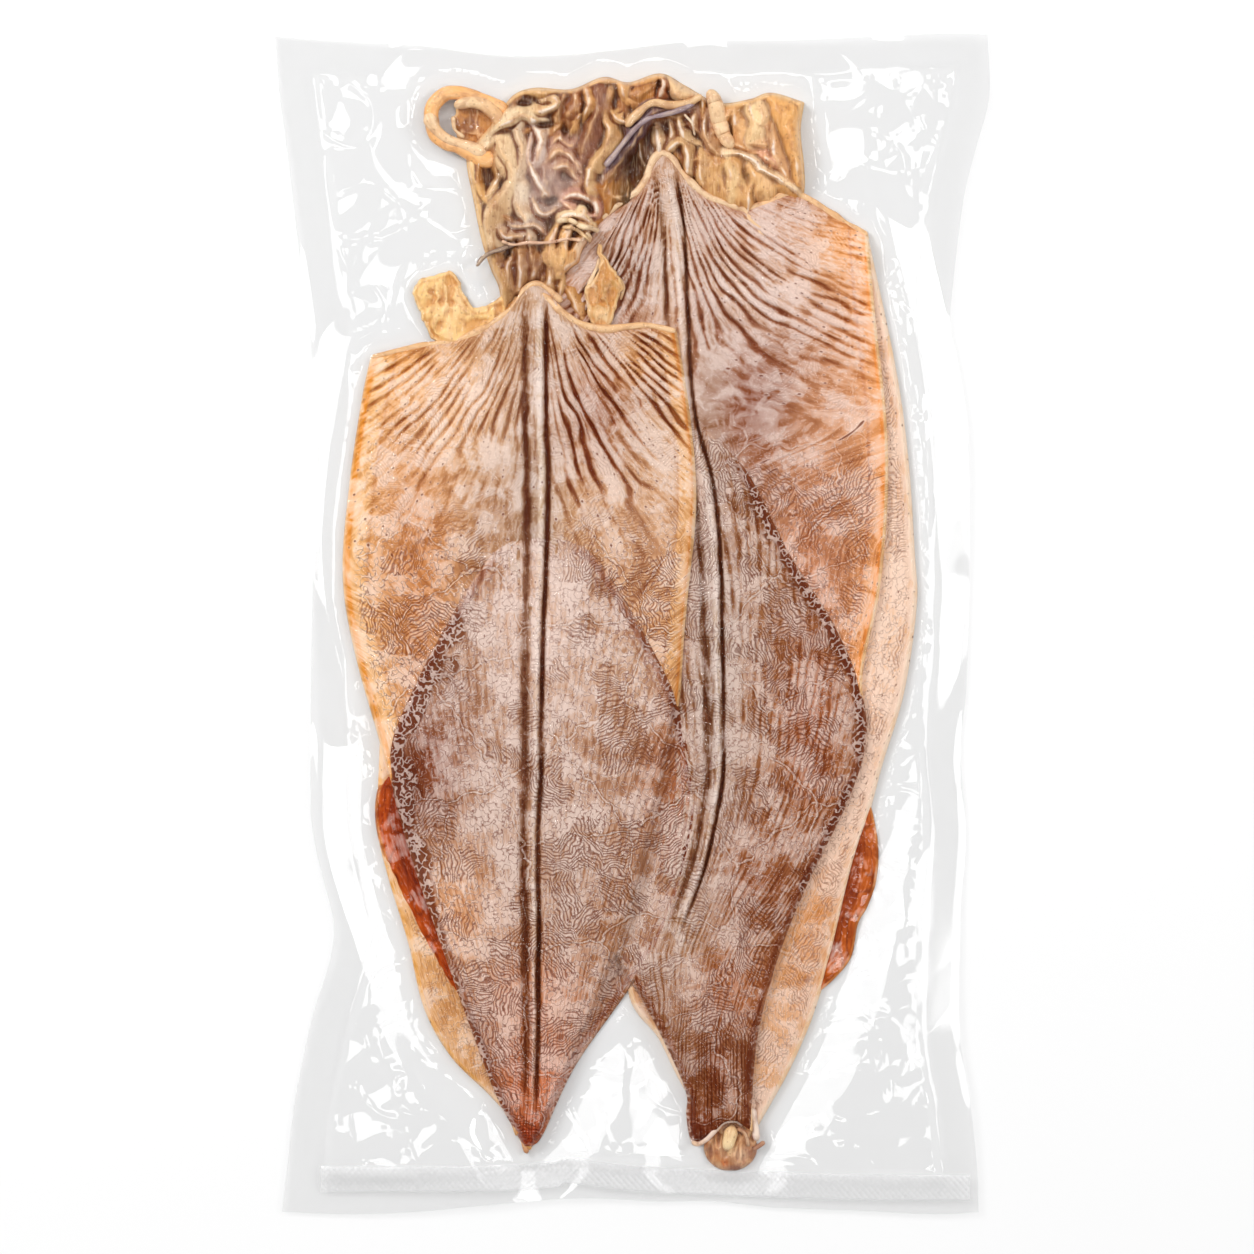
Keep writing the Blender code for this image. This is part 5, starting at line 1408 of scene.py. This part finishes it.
def skin_material():
    """Dried squid skin: brown under a pale powder, with engraved strokes, worm-like lines and crisp dots.

    The tone attribute carries the middle colour; bloom_and_shading turns it lighter or darker, for the
    pale powder and for the painted light and shade of folds and grooves, hatch says how strong strokes,
    worm-like lines and veins are, and margin turns it to dark ground with a net of pale lines.
    Patches are 6 to 12 mm wide. Fields of parallel strokes are 8 mm wide and turned each its own way, the
    strokes 0.9 mm apart, coarser than the real 0.5 mm so that they show. Worm-like lines wind 2 mm apart,
    0.5 mm wide with a pale rim, which is a painted highlight. Streaks are 0.7 by 4 mm along the grain,
    dots
    0.3 to 0.8 mm and 2.5 mm apart, pale veins 0.5 mm wide.
    """
    material, tree, shader = new_material("dried_squid_skin")
    place = add(tree, "ShaderNodeTexCoord", out=None)
    tone = add(tree, "ShaderNodeAttribute", attribute_name="tone")
    bloom_and_shading, hatch, margin = (add(tree, "ShaderNodeAttribute", out=2, attribute_name=name)
                            for name in ("bloom_and_shading", "hatch", "margin"))
    mm = add(tree, "ShaderNodeMapping", {"Vector": place.outputs["Object"], "Scale": METRES_TO_MM})
    grain, short = (add(tree, "ShaderNodeMapping", {"Vector": place.outputs["UV"], "Scale": scale})
                    for scale in ((135, 26, 1), (62, 30, 1)))
    sway = add(tree, "ShaderNodeTexNoise", {"Vector": mm, "Scale": 0.2, "Detail": 1.0}, 1,
               noise_dimensions="2D")
    swayed = add(tree, "ShaderNodeVectorMath", {0: sway, 1: (4, 4, 0), 2: mm}, operation="MULTIPLY_ADD")
    patches = add(tree, "ShaderNodeTexNoise",
                  {"Vector": swayed, "Scale": 0.11, "Detail": 3.5, "Roughness": 0.6},
                  noise_dimensions="2D")
    streak = add(tree, "ShaderNodeTexNoise", {"Vector": grain, "Scale": 1.0, "Detail": 2.0},
                 noise_dimensions="2D")
    gaps = add(tree, "ShaderNodeTexNoise", {"Vector": mm, "Scale": 0.5, "Detail": 1.0},
               noise_dimensions="2D")
    contour = winding(tree, gaps)
    fields = add(tree, "ShaderNodeTexVoronoi", {"Vector": swayed, "Scale": 0.13}, 1,
                 voronoi_dimensions="2D")
    turned = add(tree, "ShaderNodeVectorMath", {0: fields, 1: (2, 2, 0), 2: (-1, -1, 0)},
                 operation="MULTIPLY_ADD")
    turned = add(tree, "ShaderNodeVectorMath", {0: turned}, operation="NORMALIZE")
    chosen = add(tree, "ShaderNodeVectorMath", {0: fields, 1: (0, 0, 1)}, 1, operation="DOT_PRODUCT")
    across = add(tree, "ShaderNodeVectorMath", {0: turned, 1: swayed}, 1, operation="DOT_PRODUCT")
    wave = add(tree, "ShaderNodeMath", {0: across, 1: STROKE_TURN}, operation="MULTIPLY")
    wave = add(tree, "ShaderNodeMath", {0: wave}, operation="SINE")
    edges = add(tree, "ShaderNodeTexVoronoi", {"Vector": swayed, "Scale": 0.035}, voronoi_dimensions="2D",
                feature="DISTANCE_TO_EDGE")
    cells = add(tree, "ShaderNodeTexVoronoi", {"Vector": short, "Scale": 1.0}, None,
                voronoi_dimensions="2D")
    size = add(tree, "ShaderNodeVectorMath", {0: cells.outputs["Color"], 1: (-0.17, 0, 0)}, 1,
               operation="DOT_PRODUCT")
    away = add(tree, "ShaderNodeMath", {0: cells.outputs["Distance"], 1: size}, operation="ADD")

    steps = {"hatch": hatch}
    for name, value, start, end in (
            ("peeled", patches, 0.49, 0.55), ("broken", gaps, 0.47, 0.53),
            ("worm", contour, 0.058, 0.038), ("rim", contour, 0.13, 0.08), ("net", contour, 0.075, 0.045),
            ("chosen", chosen, 0.5, 0.55), ("stroke", wave, 0.0, 0.6), ("vein", edges, 0.012, 0.007),
            ("flank", edges, 0.03, 0.016), ("dot", away, -0.03, -0.08), ("halo", away, 0.06, -0.02)):
        steps[name] = add(tree, "ShaderNodeMapRange",
                          {"Value": value, "From Min": start, "From Max": end})
    for name, first, *others in (("worms", "worm", "broken", "hatch"), ("rims", "rim", "broken", "hatch"),
                                 ("strokes", "stroke", "chosen", "hatch"), ("veins", "vein", "hatch"),
                                 ("flanks", "flank", "hatch")):
        steps[name] = steps[first]
        for factor in others:
            steps[name] = add(tree, "ShaderNodeMath", {0: steps[name], 1: steps[factor]},
                              operation="MULTIPLY")

    level = add(tree, "ShaderNodeMath", {0: bloom_and_shading, 1: 0.5}, operation="ADD")
    for value, gain, shift in (
            (patches, 0.7, -0.35), (streak, 0.65, -0.325), (steps["peeled"], 0.18, -0.07),
            # The rims beside the worm-like lines lift the level as a painted highlight
            (steps["rims"], 0.3, 0.0), (steps["halo"], 0.2, 0.0), (steps["flanks"], -0.2, 0.0),
            (steps["veins"], 0.5, 0.0)):
        term = add(tree, "ShaderNodeMath", {0: value, 1: gain, 2: shift}, operation="MULTIPLY_ADD")
        level = add(tree, "ShaderNodeMath", {0: level, 1: term}, operation="ADD")

    lifted, dark, warm = (add(tree, "ShaderNodeMix", {0: 1.0, 6: tone, 7: tint}, 2, data_type="RGBA",
                              blend_type="MULTIPLY") for tint in (SKIN_LIFT, SKIN_SHADE, SKIN_WARM))
    pale = add(tree, "ShaderNodeMix", {0: 0.5, 6: lifted, 7: ink(SKIN_BLOOM)}, 2, data_type="RGBA")
    ground = add(tree, "ShaderNodeMath", {0: margin, 1: 0.95}, operation="MULTIPLY")
    light = add(tree, "ShaderNodeMath", {0: steps["net"], 1: margin}, operation="MULTIPLY")
    darker, lighter = (
        add(tree, "ShaderNodeMapRange", {"Value": level, "From Min": start, "From Max": end})
        for start, end in ((0.5, 0.0), (0.4, 0.9)))
    colour = warm
    for share, gain, shade in (
            (darker, 1.0, dark), (lighter, 1.0, pale), (steps["strokes"], 0.72, dark),
            (steps["worms"], 0.8, ink(SKIN_DARK)), (ground, 1.0, dark), (light, 0.85, pale),
            (steps["dot"], 0.85, ink(SKIN_DARK))):
        share = add(tree, "ShaderNodeMath", {0: share, 1: gain}, operation="MULTIPLY")
        colour = add(tree, "ShaderNodeMix", {0: share, 6: colour, 7: shade}, 2, data_type="RGBA")
    height = level
    for value, gain in ((steps["strokes"], -0.3), (steps["worms"], -0.35), (steps["dot"], -0.15),
                        (light, 0.6)):
        height = add(tree, "ShaderNodeMath", {0: value, 1: gain, 2: height}, operation="MULTIPLY_ADD")
    coat(tree, shader, colour, height, SKIN_BUMP, SKIN_SHINE)
    return material


def flesh_material():
    """Dried squid flesh: amber and cream, waxy, with fine fibres, stains and faint brown specks.

    The tone attribute carries the broad colour, and bloom_and_shading turns it mauve white. Fibres run 0.6
    by
    4 mm along the piece's own UV map, stains are 2 to 5 mm wide and specks 0.5 mm wide, 3 mm apart.
    """
    material, tree, shader = new_material("dried_squid_flesh")
    place = add(tree, "ShaderNodeTexCoord", out=None)
    tone = add(tree, "ShaderNodeAttribute", attribute_name="tone")
    bloom_and_shading = add(tree, "ShaderNodeAttribute", out=2, attribute_name="bloom_and_shading")
    mm = add(tree, "ShaderNodeMapping", {"Vector": place.outputs["Object"], "Scale": METRES_TO_MM})
    fibre = add(tree, "ShaderNodeMapping", {"Vector": place.outputs["UV"], "Scale": (160, 26, 1)})
    grain = add(tree, "ShaderNodeTexNoise",
                {"Vector": fibre, "Scale": 1.0, "Detail": 2.0, "Distortion": 0.8}, noise_dimensions="2D")
    blotch = add(tree, "ShaderNodeTexNoise", {"Vector": mm, "Scale": 0.35, "Detail": 2.0},
                 noise_dimensions="2D")
    cells = add(tree, "ShaderNodeTexVoronoi", {"Vector": mm, "Scale": 0.33}, voronoi_dimensions="2D")
    brown = add(tree, "ShaderNodeMix", {0: 0.8, 6: tone, 7: ink(FLESH_STAIN)}, 2, data_type="RGBA",
                blend_type="MULTIPLY")
    pale, mauve = (add(tree, "ShaderNodeMix", {0: share, 6: tone, 7: ink(shade)}, 2, data_type="RGBA")
                   for share, shade in ((0.45, CREAM), (0.6, SKIN_BLOOM)))
    colour = tone
    for value, start, end, gain, shade in (
            (grain, 0.46, 0.28, 0.35, brown), (grain, 0.54, 0.72, 0.4, pale),
            (blotch, 0.55, 0.68, 0.4, brown), (cells, 0.1, 0.05, 0.4, ink(SKIN_DARK)),
            (bloom_and_shading, 0.0, 1.0, 1.0, mauve)):
        share = add(tree, "ShaderNodeMapRange",
                    {"Value": value, "From Min": start, "From Max": end, "To Max": gain})
        colour = add(tree, "ShaderNodeMix", {0: share, 6: colour, 7: shade}, 2, data_type="RGBA")
    height = add(tree, "ShaderNodeMath", {0: blotch, 1: 0.8, 2: grain}, operation="MULTIPLY_ADD")
    coat(tree, shader, colour, height, FLESH_BUMP, FLESH_SHINE)
    return material


def film_material(name, haze, haze_welded, roughness, tint):
    """Clear film: see-through and glossy, with a faint white haze where it is welded.

    Its gloss is FACING_SHINE seen square on and rises with the fifth power towards a grazing view. Where
    it clings to the contents the gloss is weaker and creased by worm-like lines, 3 mm apart.
    """
    material, tree, shader = new_material(name)
    output = tree.nodes["Material Output"]
    tree.nodes.remove(shader)
    welded, clinging = (add(tree, "ShaderNodeAttribute", out=2, attribute_name=mask)
                        for mask in ("welded", "clinging"))
    place = add(tree, "ShaderNodeTexCoord", out=None)
    mm = add(tree, "ShaderNodeMapping", {"Vector": place.outputs["Object"], "Scale": METRES_TO_MM})
    lines = add(tree, "ShaderNodeTexNoise", {"Vector": mm, "Scale": 0.33, "Detail": 1.0},
                noise_dimensions="2D")
    lines = add(tree, "ShaderNodeMath", {0: winding(tree, lines), 1: clinging}, operation="MULTIPLY")
    bump = add(tree, "ShaderNodeBump", {"Height": lines, "Strength": 0.5, "Distance": 0.002})
    clear = add(tree, "ShaderNodeBsdfTransparent", {"Color": (tint, tint, tint, 1.0)})
    milky = add(tree, "ShaderNodeBsdfDiffuse", {"Color": (0.9, 0.9, 0.9, 1.0)})
    gloss = add(tree, "ShaderNodeBsdfGlossy",
                {"Color": (1, 1, 1, 1), "Roughness": roughness, "Normal": bump})
    facing = add(tree, "ShaderNodeLayerWeight", {"Blend": 0.5}, 1)
    grazing = add(tree, "ShaderNodeMath", {0: facing, 1: 5.0}, operation="POWER")
    mirror = add(tree, "ShaderNodeMath", {0: grazing, 1: 1.0 - FACING_SHINE, 2: FACING_SHINE},
                 operation="MULTIPLY_ADD")
    shine = add(tree, "ShaderNodeMapRange", {"Value": clinging, "To Min": 1.0, "To Max": CLINGING_SHINE})
    mirror = add(tree, "ShaderNodeMath", {0: mirror, 1: shine}, operation="MULTIPLY")
    share = add(tree, "ShaderNodeMapRange", {"Value": welded, "To Min": haze, "To Max": haze_welded})
    body = add(tree, "ShaderNodeMixShader", {0: share, 1: clear, 2: milky})
    surface = add(tree, "ShaderNodeMixShader", {0: mirror, 1: body, 2: gloss})
    tree.links.new(surface, output.inputs["Surface"])
    return material


def card_material():
    """White card: matt, and without a pattern."""
    material, _, shader = new_material("white_card")
    shader.inputs["Base Color"].default_value = (FLOOR_WHITE, FLOOR_WHITE, FLOOR_WHITE, 1.0)
    shader.inputs["Roughness"].default_value = 0.9
    shader.inputs["Specular IOR Level"].default_value = 0.0
    return material


def softbox(name, place, size, power):
    """A rectangular lamp, its place and size in metres, turned to the middle of the pouch."""
    lamp = bpy.data.lights.new(name, "AREA")
    lamp.shape = "RECTANGLE"
    lamp.size, lamp.size_y = size
    lamp.energy = power
    box = bpy.data.objects.new(name, lamp)
    box.location = place
    aim = -np.array(place) / np.linalg.norm(place)
    box.rotation_euler = (math.acos(-aim[2]), 0.0, math.atan2(aim[1], aim[0]) - math.pi / 2)
    bpy.context.scene.collection.objects.link(box)


def studio():
    """A pale room, darker overhead so that flat film stays clear, with two softboxes and three strips.

    The softboxes, key and fill, stand low so that they shade the folds; the broad strips near the camera
    give the film its white facets.
    """
    world = bpy.data.worlds.new("room")
    bpy.context.scene.world = world
    world.use_nodes = True
    tree = world.node_tree
    background = tree.nodes["Background"]
    place = add(tree, "ShaderNodeTexCoord", out=None)
    parts = add(tree, "ShaderNodeSeparateXYZ", {"Vector": place.outputs["Generated"]}, None)
    level = add(tree, "ShaderNodeMapRange",
                {"Value": parts.outputs["Z"], "From Min": 0.93, "From Max": 0.72,
                 "To Min": ROOM_OVERHEAD, "To Max": ROOM_SIDES})
    tree.links.new(level, background.inputs["Strength"])
    background.inputs["Color"].default_value = (1.0, 1.0, 1.0, 1.0)
    for lamp in LAMPS:
        softbox(*lamp)


def camera():
    """The photo's view from straight above; the frame is 350 mm wide."""
    lens = bpy.data.cameras.new("camera")
    lens.sensor_width = SENSOR
    lens.lens = SENSOR * (CAMERA_HEIGHT - MIDDLE_LEVEL) / (PHOTO_PIXELS * PIXEL_MM * MM)
    lens.clip_end = CLIP_END
    view = bpy.data.objects.new("camera", lens)
    view.location = (PHOTO_CENTRE[0] * MM, PHOTO_CENTRE[1] * MM, CAMERA_HEIGHT)
    bpy.context.scene.collection.objects.link(view)
    bpy.context.scene.camera = view


def floor():
    """The pale sheet of card under the pouch."""
    mesh = bpy.data.meshes.new("floor")
    half = FLOOR_HALF
    corners = [(-half, -half, 0), (half, -half, 0), (half, half, 0), (-half, half, 0)]
    mesh.from_pydata(corners, [], [(0, 1, 2, 3)])
    mesh.materials.append(card_material())
    sheet = bpy.data.objects.new("floor", mesh)
    bpy.context.scene.collection.objects.link(sheet)


SKIN = skin_material()
FLESH = flesh_material()
FILM_SHEET = film_material("clear_film", haze=0.0, haze_welded=0.05, roughness=0.04, tint=0.975)
SEAL = film_material("embossed_seal", haze=0.3, haze_welded=0.3, roughness=0.2, tint=0.97)

contents = [
    front_mantle(), front_fins(), right_mantle(), right_fins(),
    back_sheet("back_left_mantle", BACK_LEFT_LEFT, BACK_LEFT_RIGHT, "back_left", "#dcab7a",
               BACK_LEFT_TINTS, [(-1.0, 0.9, "#f0b45a", 0.8)], 0.2, UNDERSIDE, 401),
    back_sheet("back_right_mantle", BACK_RIGHT_LEFT, BACK_RIGHT_RIGHT, "back_right", "#deac84",
               BACK_RIGHT_TINTS, [(1.6, 3.0, "#d09a68", 0.6), (-1.0, 1.0, "#f2cfa4", 0.8)], 0.45,
               UNDERSIDE + 0.05, 411),
    back_fin("back_left_fin", BACK_LEFT_FIN, BACK_LEFT_FIN_ROOT, "#c65a1c", "#8e3510", 1.5,
             UNDERSIDE + 0.02, 421),
    back_fin("back_right_fin", BACK_RIGHT_FIN, BACK_RIGHT_FIN_ROOT, "#cc6c28", "#98421a", 0.2,
             UNDERSIDE - 0.1, 431),
    heads_sheet(),
    strands_piece("arms", HEAD_TUBES, heads_level, 0.8, 200),
    dome_piece("tail_cup", (27.6, -146.6), (7.2, 6.3), 0.9, 3.2, "#bf7f50", CUP_TINTS, 481),
    strands_piece("right_rim", RIMS_RIGHT, level_on("right", RIM_RISE), 0.75, 500),
    strands_piece("front_rim", RIMS_FRONT, level_on("front", RIM_RISE), 0.75, 520),
    strands_piece("arm_loop", LOOP_STRANDS, flat_level(LOOP_RISE), 0.85, 540),
    strands_piece("tail_ends", TAIL_STRANDS, flat_level(LOOP_RISE), 0.85, 560),
    thin_sheet("left_flap", FLAP_EDGES, FLAP_GRID, flat_level(LOOP_RISE), "#efc27c", FLAP_TINTS, 451,
               1.3),
    thin_sheet("loop_floor", LOOP_FLOOR_EDGES, LOOP_FLOOR_GRID, flat_level(LOOP_FLOOR_RISE), "#b06a2e",
               LOOP_FLOOR_TINTS, 461, 0.5),
    thin_sheet("leaf", LEAF_EDGES, LEAF_GRID, level_on("right", LEAF_RISE), "#cf9f62", LEAF_TINTS, 471,
               1.0),
]
film = film_pieces(contents)
seal_band(film)
floor()
studio()
camera()
bpy.context.scene.view_settings.view_transform = "Standard"
